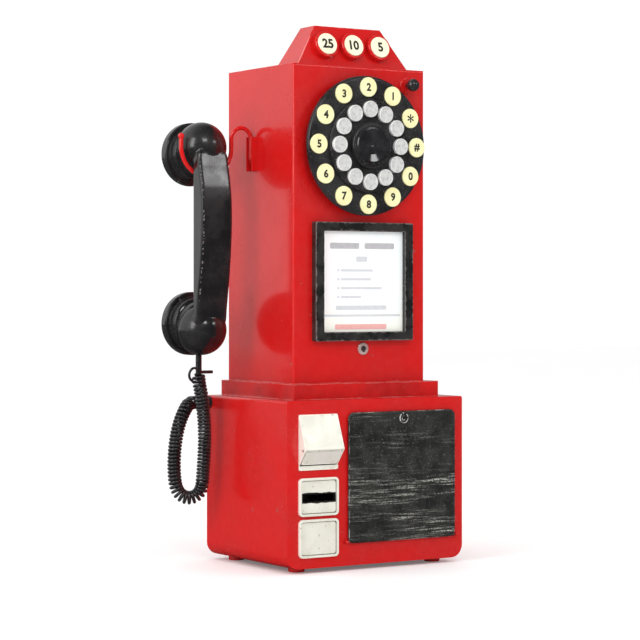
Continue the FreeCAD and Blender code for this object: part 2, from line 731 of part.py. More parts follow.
# ------------------------------------------------------------------ inside the tower
inner_side = tower_side - wall
main_board_x = -50.0
main_board = block(main_board_x, main_board_x + board_thickness, 30, 105, 330, 430)
for y in (36, 99):
    for z in (336, 424):
        main_board = main_board.fuse(bar(-inner_side, main_board_x, y, z, 3.0))
switch_top = hook_tail_bottom - hook_wire_radius - panel_gap
main_board = main_board.fuse(block(-inner_side + 3, main_board_x, hook_y - 6, hook_y + 6, switch_top - 12, switch_top))
nodes["main_board"] = main_board.removeSplitter()

ringer_y, ringer_z = 62.0, 250.0
ringer_shape = bar(inner_side - 30, inner_side - 18, ringer_y, ringer_z, 27.0)
ringer_shape = ringer_shape.cut(bar(inner_side - 28.5, inner_side - 18, ringer_y, ringer_z, 25.5))
nodes["ringer"] = joined([ringer_shape, bar(inner_side - 30, inner_side, ringer_y, ringer_z, 3.5)])

# ------------------------------------------------------------------ hook
bracket_sheet = 1.0
bracket_half = 5.5
bracket_low = hook_tail_bottom - 8.0
bracket_high = hook_tail_bottom + 24.0
bracket_depth = 6.0
bracket = block(-tower_side - bracket_depth, -tower_side, hook_y - bracket_half, hook_y + bracket_half,
                bracket_low, bracket_high)
bracket = bracket.cut(block(-tower_side - bracket_depth, -tower_side - bracket_sheet,
                            hook_y - bracket_half + bracket_sheet, hook_y + bracket_half - bracket_sheet,
                            bracket_low, bracket_high))
nodes["hook_bracket"] = bracket.cut(block(
    -tower_side - bracket_sheet, -tower_side, hook_y - hook_slot_half, hook_y + hook_slot_half,
    hook_slot_bottom, hook_slot_top))

u_z = ear_z - cup_neck_radius - panel_gap + hook_u_radius - hook_wire_radius
arch_radius = (hook_tail_x - (handset_x + hook_u_radius)) / 2
arch_x = hook_tail_x - arch_radius
arch_z = u_z + hook_arch_lift
inner_leg = handset_x + hook_u_radius
outer_leg = handset_x - hook_u_radius
outer_top = u_z + hook_outer_leg


def at(x, z):
    return V(x, hook_y, z)


bend = hook_bend * (1 - math.sqrt(0.5))
hook_path = [
    line(at(hook_inner_reach, hook_tail_bottom), at(hook_tail_x + hook_bend, hook_tail_bottom)),
    arc(at(hook_tail_x + hook_bend, hook_tail_bottom), at(hook_tail_x + bend, hook_tail_bottom + bend),
        at(hook_tail_x, hook_tail_bottom + hook_bend)),
    line(at(hook_tail_x, hook_tail_bottom + hook_bend), at(hook_tail_x, arch_z)),
    arc(at(hook_tail_x, arch_z), at(arch_x, arch_z + arch_radius), at(inner_leg, arch_z)),
    line(at(inner_leg, arch_z), at(inner_leg, u_z)),
    arc(at(inner_leg, u_z), at(handset_x, u_z - hook_u_radius), at(outer_leg, u_z)),
    line(at(outer_leg, u_z), at(outer_leg, outer_top)),
]
nodes["switch_hook"] = joined([swept(hook_path, hook_wire_radius),
                               Part.makeSphere(hook_ball_radius, at(outer_leg, outer_top))])

# ------------------------------------------------------------------ handset
spigot_back = cap_front + spigot_length
cavity_radius = spigot_radius - cup_wall
cavity_front = cup_step + 3.0


def cup_body(z):
    """The stepped dome at one end of the handle, with the spigot that its cap fits on."""
    return turned([
        (0, cup_front), (8, cup_front + 0.4), (13, cup_front + 2.2), (17, cup_front + 5.2),
        (cup_neck_radius, cup_shoulder), (cup_neck_radius, cup_step - 1.5),
        (cup_body_radius, cup_step), (cup_body_radius, cap_front - 3), (cup_body_radius + 2.5, cap_front),
        (spigot_radius, cap_front), (spigot_radius, spigot_back), (cavity_radius, spigot_back),
        (cavity_radius, cup_step + 6), (cavity_radius - 3, cavity_front), (0, cavity_front)], handset_x, z)


half_handle = handle_width / 2
handle_ring = [
    (-half_handle, handle_front + handle_chamfer), (handle_chamfer - half_handle, handle_front),
    (half_handle - handle_chamfer, handle_front), (half_handle, handle_front + handle_chamfer),
    (half_handle, handle_back), (-half_handle, handle_back)]
handle_overlap = 12.0            # how far the handle runs into each cup
handle_low = mouth_z + cup_neck_radius - handle_overlap
handle_high = ear_z - cup_neck_radius + handle_overlap
handle_points = [V(handset_x + x, y, handle_low) for x, y in handle_ring]
handle = Part.Face(Part.makePolygon(handle_points + handle_points[:1])).extrude(V(0, 0, handle_high - handle_low))
stud_top = mouth_z - cup_body_radius + 1.0
stud_bottom = mouth_z - cup_radius - stud_length
stud_hole = Part.makeCylinder(stud_radius, stud_top - stud_bottom, V(handset_x, stud_y, stud_bottom))
handset = joined([handle, cup_body(ear_z), cup_body(mouth_z)])
nodes["handset_handle"] = handset.cut(stud_hole)


def cup_cap(z):
    """The screwed ring cap over a capsule, with its sound holes."""
    bore = spigot_radius + 0.05
    inner_face = cap_back - cap_plate
    cap = turned([
        (bore, cap_front), (cup_radius - 1.2, cap_front), (cup_radius, cap_front + 1.2),
        (cup_radius, cap_back - 2.5), (cup_radius - 2.5, cap_back), (0, cap_back), (0, inner_face),
        (bore, inner_face)], handset_x, z)
    holes = [(0, 0)] + [(sound_hole_pitch * math.sin(k * math.pi / 3), sound_hole_pitch * math.cos(k * math.pi / 3))
                        for k in range(6)]
    for dx, dz in holes:
        cap = cap.cut(rod(handset_x + dx, inner_face, cap_back, z + dz, sound_hole_radius))
    return cap


nodes["earpiece_cap"] = cup_cap(ear_z)
nodes["mouthpiece_cap"] = cup_cap(mouth_z)
capsule_back = cap_back - cap_plate
nodes["handset_capsules"] = Part.makeCompound([
    rod(handset_x, capsule_back - capsule_length, capsule_back, z, cavity_radius - capsule_clearance)
    for z in (ear_z, mouth_z)])
stud = Part.makeCylinder(stud_radius - 0.03, stud_top - stud_bottom, V(handset_x, stud_y, stud_bottom))
nodes["cord_stud"] = joined([stud, bar(handset_x, handset_x + stub_length, stud_y,
                                       stud_bottom + stub_radius, stub_radius)])

# ------------------------------------------------------------------ cord
gland_end = -base_side - gland_length
gland_flange = 1.5
nodes["cord_gland"] = joined([
    bar(gland_end, -base_side, gland_y, gland_z, gland_radius),
    bar(-base_side - gland_flange, -base_side, gland_y, gland_z, gland_radius + 1.2),
    bar(-base_side, wall - base_side, gland_y, gland_z, gland_radius - 1.03)])

cord_route = ([(handset_x, stud_y, stud_bottom)] + cord_middle
              + [(gland_end - cord_last_run, gland_y, gland_z), (gland_end, gland_y, gland_z)])
arc_share = 0.45            # how much of the shorter run one rounded corner takes


def cord_path(route):
    """Straight runs joined by tangent arcs through a list of points."""
    points = [V(*point) for point in route]
    edges, radii = [], []
    place = points[0]
    for before, here, after in zip(points, points[1:], points[2:]):
        back_way = (before - here).normalize()
        on_way = (after - here).normalize()
        half_turn = (math.pi - back_way.getAngle(on_way)) / 2
        cut = arc_share * min((before - here).Length, (after - here).Length)
        radius = cut / math.tan(half_turn)
        first, last = here + back_way * cut, here + on_way * cut
        inward_way = (back_way + on_way).normalize()
        middle = here + inward_way * (radius / math.cos(half_turn) - radius)
        edges += [line(place, first), arc(first, middle, last)]
        place = last
        radii.append(radius)
    edges.append(line(place, points[-1]))
    return edges, radii


cord_edges, cord_radii = cord_path(cord_route)
nodes["curly_cord"] = swept(cord_edges, cord_radius)
cord_length = sum(edge.Length for edge in cord_edges)
print("cord radii", [round(radius, 1) for radius in cord_radii])
print("cord length", round(cord_length, 1), "volume ratio",
      round(nodes["curly_cord"].Volume / (math.pi * cord_radius ** 2 * cord_length), 4))

# ------------------------------------------------------------------ frame and export
left_reach = handset_x - hook_u_radius - hook_ball_radius
rear_reach = back + cover_thickness + screw_head_height
to_origin = V(-(left_reach + base_side) / 2, -(ridge_y + rear_reach) / 2, 0)
print("shift", to_origin, "size", base_side - left_reach, rear_reach - ridge_y, crown_top)

for name, shape in nodes.items():
    moved = shape.copy()
    moved.translate(to_origin)
    moved.exportStep("parts/%s.step" % name)
    if not moved.isValid():
        print("NOT VALID", name)
print(len(nodes), "nodes")
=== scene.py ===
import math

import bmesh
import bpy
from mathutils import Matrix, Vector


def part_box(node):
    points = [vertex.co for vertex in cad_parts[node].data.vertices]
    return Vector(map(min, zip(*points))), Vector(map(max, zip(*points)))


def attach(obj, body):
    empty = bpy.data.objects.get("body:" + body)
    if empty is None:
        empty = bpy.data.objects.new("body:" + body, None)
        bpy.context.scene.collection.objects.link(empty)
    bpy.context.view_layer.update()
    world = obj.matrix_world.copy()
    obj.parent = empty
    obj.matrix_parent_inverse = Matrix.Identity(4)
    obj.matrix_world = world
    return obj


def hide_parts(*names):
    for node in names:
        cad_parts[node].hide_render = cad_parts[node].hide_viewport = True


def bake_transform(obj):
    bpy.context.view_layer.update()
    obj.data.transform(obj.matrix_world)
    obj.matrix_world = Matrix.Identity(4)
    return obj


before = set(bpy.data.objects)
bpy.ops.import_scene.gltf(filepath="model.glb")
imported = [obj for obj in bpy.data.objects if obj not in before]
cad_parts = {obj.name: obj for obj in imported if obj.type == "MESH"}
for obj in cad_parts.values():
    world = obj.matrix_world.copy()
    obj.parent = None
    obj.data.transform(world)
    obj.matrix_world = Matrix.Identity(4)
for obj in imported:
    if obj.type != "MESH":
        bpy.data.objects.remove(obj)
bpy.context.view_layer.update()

# %% [markdown]
# # A table-top payphone
# A folded steel cabinet carries a push-button dial, three coin buttons, a printed card,
# a coin return and a vault door, and a handset hangs on a wire hook at its side.
# The shapes and sizes come from the frame, so this script gives each piece its finish,
# and models the few pieces that a mesh shows better: the curly cord, the handset's bowed
# shell, the figures and the print on the card. Everything is in metres.

scene = bpy.context.scene
scene.view_settings.view_transform = "Standard"

# %% [markdown]
# ## The camera
# The camera stands level, so upright edges stay upright, and it is turned a third of a
# right angle to the left of the front. A long lens keeps the far edges almost as tall as
# the near ones. The lens shift lowers the view without tilting the camera.

# %% Place the camera
tower_front_middle = Vector((0.0285, -0.040, 0.255))
camera_distance, step_aside = 2.05, 0.037
turn = math.radians(-32.5)
towards_camera = Vector((math.sin(turn), -math.cos(turn), 0))
to_the_right = Vector((math.cos(turn), math.sin(turn), 0))

lens = bpy.data.cameras.new("camera")
lens.lens = 124.4
lens.shift_y = -0.0469
camera = bpy.data.objects.new("camera", lens)
camera.location = (tower_front_middle + camera_distance * towards_camera
                   - step_aside * to_the_right)
camera.rotation_euler = (math.radians(90), 0, turn)
scene.collection.objects.link(camera)
scene.camera = camera
print("camera at", [round(v, 3) for v in camera.location])

# %% [markdown]
# ## The curly cord
# A handset cord is one long covered wire, wound round a rod and baked, so that it springs
# back into close turns. It hangs from the stud of the mouthpiece, makes a short loop and
# goes up into the gland on the cabinet's side. The route is drawn first, as a smooth
# spline with few points. The turns then follow points read from that spline, so the coil
# bends as one, and a tube along the turns gives the wire.

# %% Draw the route of the cord
cord_route = [
    (-0.0955, 0.0440, 0.1772), (-0.0955, 0.0440, 0.1705), (-0.0927, 0.0442, 0.1590),
    (-0.0899, 0.0450, 0.1430), (-0.0877, 0.0460, 0.1220), (-0.0877, 0.0473, 0.1020),
    (-0.0884, 0.0485, 0.0840), (-0.0889, 0.0498, 0.0690), (-0.0955, 0.0518, 0.0616),
    (-0.1055, 0.0544, 0.0618), (-0.1123, 0.0566, 0.0694), (-0.1137, 0.0582, 0.0840),
    (-0.1129, 0.0594, 0.1020), (-0.1101, 0.0605, 0.1190), (-0.1055, 0.0616, 0.1330),
    (-0.0995, 0.0632, 0.1430), (-0.0920, 0.0686, 0.1490), (-0.0825, 0.0720, 0.1490),
    (-0.0740, 0.0720, 0.1490)]


def spline_object(name, points, thickness=0.0, fineness=8, sides=2):
    """A smooth spline whose control points are the points, as an object."""
    curve = bpy.data.curves.new(name, "CURVE")
    curve.dimensions = "3D"
    curve.resolution_u = fineness
    curve.bevel_depth = thickness / 2
    curve.bevel_resolution = sides
    curve.use_fill_caps = True
    spline = curve.splines.new("NURBS")
    spline.points.add(len(points) - 1)
    for place, point in zip(spline.points, points):
        place.co = (*point, 1.0)
    spline.order_u = 3
    spline.use_endpoint_u = True
    thing = bpy.data.objects.new(name, curve)
    scene.collection.objects.link(thing)
    return thing


def mesh_of(thing):
    """The mesh that a curve or text shows, and the curve itself is taken away."""
    bpy.context.view_layer.update()
    mesh = bpy.data.meshes.new_from_object(
        thing.evaluated_get(bpy.context.evaluated_depsgraph_get()))
    bpy.data.objects.remove(thing, do_unlink=True)
    return mesh


route_mesh = mesh_of(spline_object("cord_line", cord_route, fineness=16))
line = [vertex.co.copy() for vertex in route_mesh.vertices]
line_length = sum((b - a).length for a, b in zip(line, line[1:]))
print(f"the route is {line_length * 1000:.0f} mm long, read at {len(line)} points")

# %% Wind the wire round the route
wire_diameter = 0.0031
coil_radius = 0.0052
close_pitch = 0.0033            # from one turn to the next where the cord is straight
points_a_turn = 14
loose_end, looser = 0.022, 1.5  # the last turns before the gland are pulled apart
opened_by_bends = 0.10          # most that a bend adds to the pitch, on the route itself
tight_radius = 0.011            # a bend this tight adds all of that
end_reach, taper = 0.35, 0.004  # the coil starts this narrow, and widens over this length


def place_on_line(distance):
    """The point at that distance along the route, and the way the route runs there."""
    for a, b in zip(line, line[1:]):
        step = (b - a).length
        if distance <= step:
            return a.lerp(b, distance / step), (b - a).normalized()
        distance -= step
    return line[-1].copy(), (line[-1] - line[-2]).normalized()


def bend_at(distance, reach=0.004):
    """How sharply the route bends, as one over the radius."""
    _, before = place_on_line(max(distance - reach, 0))
    _, after = place_on_line(min(distance + reach, line_length))
    return before.angle(after) / (2 * reach)


turns, walked, angle = [], 0.0, 0.0
_, heading = place_on_line(0.0)
side = heading.orthogonal().normalized()
while walked < line_length:
    middle, heading = place_on_line(walked)
    side = (side - heading * side.dot(heading)).normalized()
    other = heading.cross(side)
    from_an_end = min(walked, line_length - walked)
    reach = coil_radius * min(1.0, end_reach + from_an_end / taper)
    turns.append(middle + reach * (math.cos(angle) * side + math.sin(angle) * other))
    opened = 1.0 + opened_by_bends * min(1.0, tight_radius * bend_at(walked))
    if line_length - walked < loose_end:
        opened *= looser
    walked += close_pitch * opened / points_a_turn
    angle += 2 * math.pi / points_a_turn
turns.append(line[-1].copy())

# %% Give the wire its thickness
cord_mesh = mesh_of(spline_object("cord_wire", turns, wire_diameter, fineness=1, sides=2))
for face in cord_mesh.polygons:
    face.use_smooth = True
cord = bpy.data.objects.new("curly_cord_wire", cord_mesh)
scene.collection.objects.link(cord)
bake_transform(cord)
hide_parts("curly_cord")
print(len(cord_mesh.polygons), "faces in the cord")

# %% [markdown]
# ## Tools for materials
# Every finish here is made of nodes that read Object coordinates, which stay fixed to a
# piece when it moves. A few short helpers add nodes and join them. Effects that several
# finishes share are node groups, made once: pale edges, which are wear and on the red
# paint partly a painted highlight, mottling, fine speckle, and the distance from a rounded
# rectangle, which draws frames, slots, rings and dark seams.

# %% Helpers that add nodes
def join(tree, value, socket):
    """Gives a socket a number or vector, or links the output that is to feed it."""
    if isinstance(value, bpy.types.NodeSocket):
        tree.links.new(value, socket)
    elif value is not None:
        socket.default_value = value


def tree_axis(tree, position, axis):
    """One of the three numbers of a position."""
    parts = tree.nodes.new("ShaderNodeSeparateXYZ")
    join(tree, position, parts.inputs[0])
    return parts.outputs[axis]


def maths(tree, operation, a, b=None):
    node = tree.nodes.new("ShaderNodeMath")
    node.operation = operation
    for value, socket in zip((a, b), node.inputs):
        join(tree, value, socket)
    return node.outputs[0]


def vectors(tree, operation, a, b=None):
    node = tree.nodes.new("ShaderNodeVectorMath")
    node.operation = operation
    for value, socket in zip((a, b), node.inputs):
        join(tree, value, socket)
    return node.outputs["Value" if operation == "DOT_PRODUCT" else "Vector"]


def remap(tree, value, low, high, to_low=0.0, to_high=1.0):
    """Turns a run of values from low to high into a soft run from to_low to to_high."""
    node = tree.nodes.new("ShaderNodeMapRange")
    node.interpolation_type = "SMOOTHSTEP"
    for name, given in (("Value", value), ("From Min", low), ("From Max", high),
                        ("To Min", to_low), ("To Max", to_high)):
        join(tree, given, node.inputs[name])
    return node.outputs["Result"]


def noise(tree, position, scale, detail=3.0, rough=0.6, stretch=None):
    node = tree.nodes.new("ShaderNodeTexNoise")
    if stretch:
        position = vectors(tree, "MULTIPLY", position, stretch)
    join(tree, position, node.inputs["Vector"])
    for name, given in (("Scale", scale), ("Detail", detail), ("Roughness", rough)):
        join(tree, given, node.inputs[name])
    return node.outputs["Fac"]


def over(tree, below, colour, mask):
    """Lays a colour over what is below it, where the mask is 1."""
    node = tree.nodes.new("ShaderNodeMix")
    node.data_type = "RGBA"
    join(tree, mask, node.inputs["Factor"])
    for value, socket in ((below, node.inputs["A"]), (colour, node.inputs["B"])):
        socket = [s for s in node.inputs if s.name == socket.name and s.type == "RGBA"][0]
        join(tree, (*value, 1.0) if isinstance(value, tuple) else value, socket)
    return [s for s in node.outputs if s.type == "RGBA"][0]


def new_group(name, takes, gives):
    """An empty node group with named inputs and outputs."""
    tree = bpy.data.node_groups.new(name, "ShaderNodeTree")
    for label, kind in takes:
        tree.interface.new_socket(label, in_out="INPUT", socket_type="NodeSocket" + kind)
    for label, kind in gives:
        tree.interface.new_socket(label, in_out="OUTPUT", socket_type="NodeSocket" + kind)
    return tree, tree.nodes.new("NodeGroupInput").outputs, tree.nodes.new("NodeGroupOutput").inputs


def use(tree, group, output, **values):
    """Places a node group, with underscores in a name standing for spaces."""
    node = tree.nodes.new("ShaderNodeGroup")
    node.node_tree = group
    for name, value in values.items():
        join(tree, value, node.inputs[name.replace("_", " ")])
    return node.outputs[output]


# %% Edges of a box: worn paint, and on the red paint partly a painted highlight
edge_wear_and_highlight, takes, gives = new_group(
    "edge wear and highlight", [("Position", "Vector"), ("Low", "Vector"), ("High", "Vector"),
                   ("Width", "Float"), ("Breakup", "Float"), ("Scale", "Float")],
    [("Mask", "Float")])
low_gap = vectors(edge_wear_and_highlight, "ABSOLUTE",
                  vectors(edge_wear_and_highlight, "SUBTRACT", takes["Position"], takes["Low"]))
high_gap = vectors(edge_wear_and_highlight, "ABSOLUTE",
                   vectors(edge_wear_and_highlight, "SUBTRACT", takes["High"], takes["Position"]))
parts = edge_wear_and_highlight.nodes.new("ShaderNodeSeparateXYZ")
join(edge_wear_and_highlight, vectors(edge_wear_and_highlight, "MINIMUM", low_gap, high_gap), parts.inputs[0])
gap_x, gap_y, gap_z = parts.outputs
# a point on a face is 0 from one plane, and near an edge it is near a second one too
second_gap = maths(
    edge_wear_and_highlight, "MAXIMUM", maths(edge_wear_and_highlight, "MINIMUM", gap_x, gap_y),
    maths(edge_wear_and_highlight, "MINIMUM", maths(edge_wear_and_highlight, "MAXIMUM", gap_x, gap_y), gap_z))
ragged = remap(edge_wear_and_highlight, noise(edge_wear_and_highlight, takes["Position"], takes["Scale"], 4.0, 0.7),
               0.35, 0.68)
ragged = maths(edge_wear_and_highlight, "ADD", maths(edge_wear_and_highlight, "MULTIPLY", ragged, takes["Breakup"]),
               maths(edge_wear_and_highlight, "SUBTRACT", 1.0, takes["Breakup"]))
reach = maths(edge_wear_and_highlight, "MULTIPLY", ragged, takes["Width"])
join(edge_wear_and_highlight, remap(edge_wear_and_highlight, second_gap, maths(edge_wear_and_highlight, "MULTIPLY", reach, 0.45),
                       maths(edge_wear_and_highlight, "ADD", reach, 0.00002), 1.0, 0.0), gives["Mask"])

# %% Mottling and speckle
mottle, takes, gives = new_group(
    "mottle", [("Position", "Vector"), ("Scale", "Float")], [("Amount", "Float")])
join(mottle, remap(mottle, noise(mottle, takes["Position"], takes["Scale"], 5.0, 0.62),
                   0.34, 0.66), gives["Amount"])

speckle, takes, gives = new_group(
    "speckle", [("Position", "Vector"), ("Scale", "Float"), ("Level", "Float")],
    [("Mask", "Float")])
grains = noise(speckle, takes["Position"], takes["Scale"], 2.0, 0.5)
join(speckle, remap(speckle, grains, takes["Level"],
                    maths(speckle, "ADD", takes["Level"], 0.03)), gives["Mask"])

# %% Distance from a rounded rectangle, seen from the front
rectangle, takes, gives = new_group(
    "rounded rectangle", [("Position", "Vector"), ("Centre", "Vector"), ("Half size", "Vector"),
                          ("Corner", "Float")], [("Distance", "Float")])
parts = rectangle.nodes.new("ShaderNodeSeparateXYZ")
from_centre = vectors(rectangle, "ABSOLUTE",
                      vectors(rectangle, "SUBTRACT", takes["Position"], takes["Centre"]))
join(rectangle, vectors(rectangle, "SUBTRACT", from_centre, takes["Half size"]), parts.inputs[0])
past_x = maths(rectangle, "ADD", parts.outputs[0], takes["Corner"])
past_z = maths(rectangle, "ADD", parts.outputs[2], takes["Corner"])
outside = maths(rectangle, "SQRT", maths(
    rectangle, "ADD",
    maths(rectangle, "POWER", maths(rectangle, "MAXIMUM", past_x, 0.0), 2.0),
    maths(rectangle, "POWER", maths(rectangle, "MAXIMUM", past_z, 0.0), 2.0)))
inside = maths(rectangle, "MINIMUM", maths(rectangle, "MAXIMUM", past_x, past_z), 0.0)
join(rectangle, maths(rectangle, "SUBTRACT", maths(rectangle, "ADD", outside, inside),
                      takes["Corner"]), gives["Distance"])
print("node groups:", [group.name for group in bpy.data.node_groups])


def mottled(tree, position, scale):
    return use(tree, mottle, "Amount", Position=position, Scale=scale)


def speckled(tree, position, scale, level):
    return use(tree, speckle, "Mask", Position=position, Scale=scale, Level=level)


# %% Start a material, and give it to pieces
def new_finish(name, roughness=0.4, metallic=0.0, coat=0.0):
    """A material, its tree, its shader and its Object coordinates."""
    finish = bpy.data.materials.new(name)
    finish.use_nodes = True
    tree = finish.node_tree
    shader = tree.nodes["Principled BSDF"]
    shader.inputs["Roughness"].default_value = roughness
    shader.inputs["Metallic"].default_value = metallic
    shader.inputs["Coat Weight"].default_value = coat
    shader.inputs["Coat Roughness"].default_value = 0.08
    position = tree.nodes.new("ShaderNodeTexCoord").outputs["Object"]
    return finish, tree, shader, position


def colour_by(tree, shader, colour):
    join(tree, colour, shader.inputs["Base Color"])


def raise_by(tree, shader, height, strength, distance=0.0003):
    """Bump from a height."""
    bump = tree.nodes.new("ShaderNodeBump")
    bump.inputs["Strength"].default_value = strength
    bump.inputs["Distance"].default_value = distance
    join(tree, height, bump.inputs["Height"])
    join(tree, bump.outputs["Normal"], shader.inputs["Normal"])


def pitted(tree, shader, position, scale, strength, distance=0.0003):
    """Fine bumps all over."""
    raise_by(tree, shader, noise(tree, position, scale, 2.0, 0.5), strength, distance)


def roughen(tree, shader, amount, low, high):
    join(tree, remap(tree, amount, 0.0, 1.0, low, high), shader.inputs["Roughness"])


def dress(finish, *nodes):
    """Gives the finish to nodes of the frame."""
    for node in nodes:
        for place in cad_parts[node].material_slots:
            place.material = finish


def framed(node):
    """The centre and half size of a node, to lay patterns out on it."""
    low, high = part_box(node)
    return (low + high) / 2, (high - low) / 2


# %% [markdown]
# ## Red paint
# The cabinet is folded steel under glossy red paint. Handling has rubbed its folded
# edges pale, and that pale line is partly a painted highlight on the rounded edges. The
# sides have deeper patches, the narrow collar is darkened as painted shade, and a few
# chips show. Each housing is nearly a box, so its edges are found from its two corners,
# and noise breaks up the wear.

# %% Mix the red paint for each housing
bright_red, deep_red = (0.63, 0.008, 0.008), (0.40, 0.004, 0.004)
worn_and_highlight_pink, chip_grey, soot = (0.80, 0.26, 0.24), (0.30, 0.10, 0.09), (0.012, 0.010, 0.010)
coin_slot_middle, coin_slot_half = Vector((-0.03525, 0, 0.068)), Vector((0.0190, 1, 0.0045))


def red_paint(name, low, high, patches_and_shade=0.22, sooty_slot=False):
    """Red paint for a box from low to high, with deeper patches, and edges rubbed pale that are partly
    a painted highlight.
    """
    finish, tree, shader, position = new_finish(name, coat=0.35)
    patches = mottled(tree, position, 14.0)
    fine = mottled(tree, position, 120.0)
    # deeper patches, and on the collar, where the amount is large, painted shade
    colour = over(tree, bright_red, deep_red, maths(tree, "MULTIPLY", patches, patches_and_shade))
    colour = over(tree, colour, (0.72, 0.05, 0.045), maths(tree, "MULTIPLY", fine, 0.10))
    chips = speckled(tree, position, 95.0, 0.745)
    colour = over(tree, colour, chip_grey, maths(tree, "MULTIPLY", chips, 0.75))
    # pale edge line: worn paint, and partly a painted highlight on the rounded edges
    worn = use(tree, edge_wear_and_highlight, "Mask", Position=position, Low=low, High=high, Width=0.0009,
               Breakup=0.9, Scale=55.0)
    colour = over(tree, colour, worn_and_highlight_pink, maths(tree, "MULTIPLY", worn, 0.45))
    if sooty_slot:
        slot_gap = use(tree, rectangle, "Distance", Position=position, Centre=coin_slot_middle,
                       Half_size=coin_slot_half, Corner=0.001)
        colour = over(tree, colour, soot, remap(tree, slot_gap, 0.0, 0.001, 1.0, 0.0))
    colour_by(tree, shader, colour)
    roughen(tree, shader, maths(tree, "ADD", maths(tree, "MULTIPLY", patches, 0.6),
                                maths(tree, "MULTIPLY", worn, 0.4)), 0.18, 0.34)
    pitted(tree, shader, position, 260.0, 0.10)
    return finish


for node in ("base_housing", "plinth_collar", "tower_housing", "base_rear_cover",
             "tower_rear_cover"):
    low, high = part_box(node)
    # painted shade darkens the narrow collar, which sits in shadow between base and tower, and the
    # base is unpainted and sooty round its coin slot
    dress(red_paint("red_paint_" + node, low, high, 0.9 if node == "plinth_collar" else 0.22,
                    sooty_slot=node == "base_housing"), node)
plain_red = red_paint("red_paint_small_parts", (-1, -1, -1), (1, 1, 1))
dress(plain_red, "feet", "coin_button_collars", "release_knob_collar", "hook_bracket",
      "switch_hook")

# %% [markdown]
# The crown leans back and narrows towards its top, so its edges aren't those of a box.
# Before its edges are looked for, its coordinates are straightened: the sideways part is
# divided by the crown's width at that height, and the lean is taken off the depth.

# %% Straighten the crown's coordinates and paint it
crown_narrows, crown_leans = 0.025, 0.010    # each side and the front, from bottom to top
straight_half = 0.05                         # the even half width that the crown is given


def crown_paint():
    finish, tree, shader, position = new_finish("red_paint_crown", coat=0.35)
    low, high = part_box("crown_housing")
    middle, rise = (low.x + high.x) / 2, high.z - low.z
    parts = tree.nodes.new("ShaderNodeSeparateXYZ")
    join(tree, position, parts.inputs[0])
    height = maths(tree, "SUBTRACT", parts.outputs[2], low.z)
    half_width = maths(tree, "SUBTRACT", (high.x - low.x) / 2,
                       maths(tree, "MULTIPLY", height, crown_narrows / rise))
    straight_x = maths(tree, "DIVIDE", maths(tree, "MULTIPLY", maths(
        tree, "SUBTRACT", parts.outputs[0], middle), straight_half), half_width)
    front_y = maths(tree, "ADD", low.y, maths(tree, "MULTIPLY", height, crown_leans / rise))
    straight_y = maths(tree, "SUBTRACT", parts.outputs[1], front_y)
    straight = tree.nodes.new("ShaderNodeCombineXYZ")
    for value, socket in zip((straight_x, straight_y, height), straight.inputs):
        join(tree, value, socket)
    # pale edge line: worn paint, and partly a painted highlight on the rounded edges
    worn = use(tree, edge_wear_and_highlight, "Mask", Position=straight.outputs[0],
               Low=(-straight_half, 0, -0.05), High=(straight_half, 0.2, rise), Width=0.0012,
               Breakup=0.9, Scale=55.0)
    patches = mottled(tree, position, 14.0)
    colour = over(tree, bright_red, deep_red, maths(tree, "MULTIPLY", patches, 0.25))
    colour_by(tree, shader, over(tree, colour, worn_and_highlight_pink, maths(tree, "MULTIPLY", worn, 0.85)))
    roughen(tree, shader, patches, 0.16, 0.30)
    pitted(tree, shader, position, 260.0, 0.10)
    return finish


dress(crown_paint(), "crown_housing")
print("painted", len([m for m in bpy.data.materials if m.name.startswith("red_paint")]), "finishes")

# %% [markdown]
# ## The dial
# The dial looks rotary and is a keypad: twelve silver keys on a satin black disc, with
# twelve cream number discs round them and a glossy hub. The black has a fine pale
# speckle from a sprayed coat. The keys have a fine texture, and their rims get a painted
# highlight, found from where the surface turns away from the front.

# %% Finish the dial's black parts
def black_finish(name, roughness, coat, speckle_level):
    """Black with a pale speckle, which is rarer the higher its level."""
    finish, tree, shader, position = new_finish(name, roughness, coat=coat)
    cloud = mottled(tree, position, 45.0)
    colour = over(tree, (0.010, 0.010, 0.011), (0.026, 0.025, 0.027), cloud)
    grains = speckled(tree, position, 900.0, speckle_level)
    colour_by(tree, shader, over(tree, colour, (0.16, 0.15, 0.15), grains))
    roughen(tree, shader, cloud, roughness * 0.8, roughness * 1.25)
    pitted(tree, shader, position, 700.0, 0.12, 0.0001)
    return finish


dial_black = black_finish("dial_black", 0.34, 0.1, 0.66)
gloss_black = black_finish("gloss_black", 0.13, 0.5, 0.80)
dress(dial_black, "dial_plate", "dial_inner_ring", "dial_hub_ring")
dress(gloss_black, "dial_hub_cap", "release_knob")


# %% Finish the keys, number discs and coin buttons
def turned_away(tree, limit):
    """1 where the surface turns away from the front, as on a rim or a rounded edge."""
    normal = tree.nodes.new("ShaderNodeTexCoord").outputs["Normal"]
    facing = vectors(tree, "DOT_PRODUCT", normal, (0.0, -1.0, 0.0))
    return remap(tree, facing, limit - 0.12, limit, 1.0, 0.0)


def key_finish():
    finish, tree, shader, position = new_finish("key_silver", 0.34, metallic=0.1)
    grain = mottled(tree, position, 300.0)
    colour = over(tree, (0.58, 0.58, 0.57), (0.68, 0.68, 0.66), grain)
    # painted highlight on the rims, where the surface turns away from the front
    colour_by(tree, shader, over(tree, colour, (0.93, 0.93, 0.92), turned_away(tree, 0.97)))
    roughen(tree, shader, grain, 0.26, 0.46)
    pitted(tree, shader, position, 900.0, 0.25, 0.0001)
    return finish


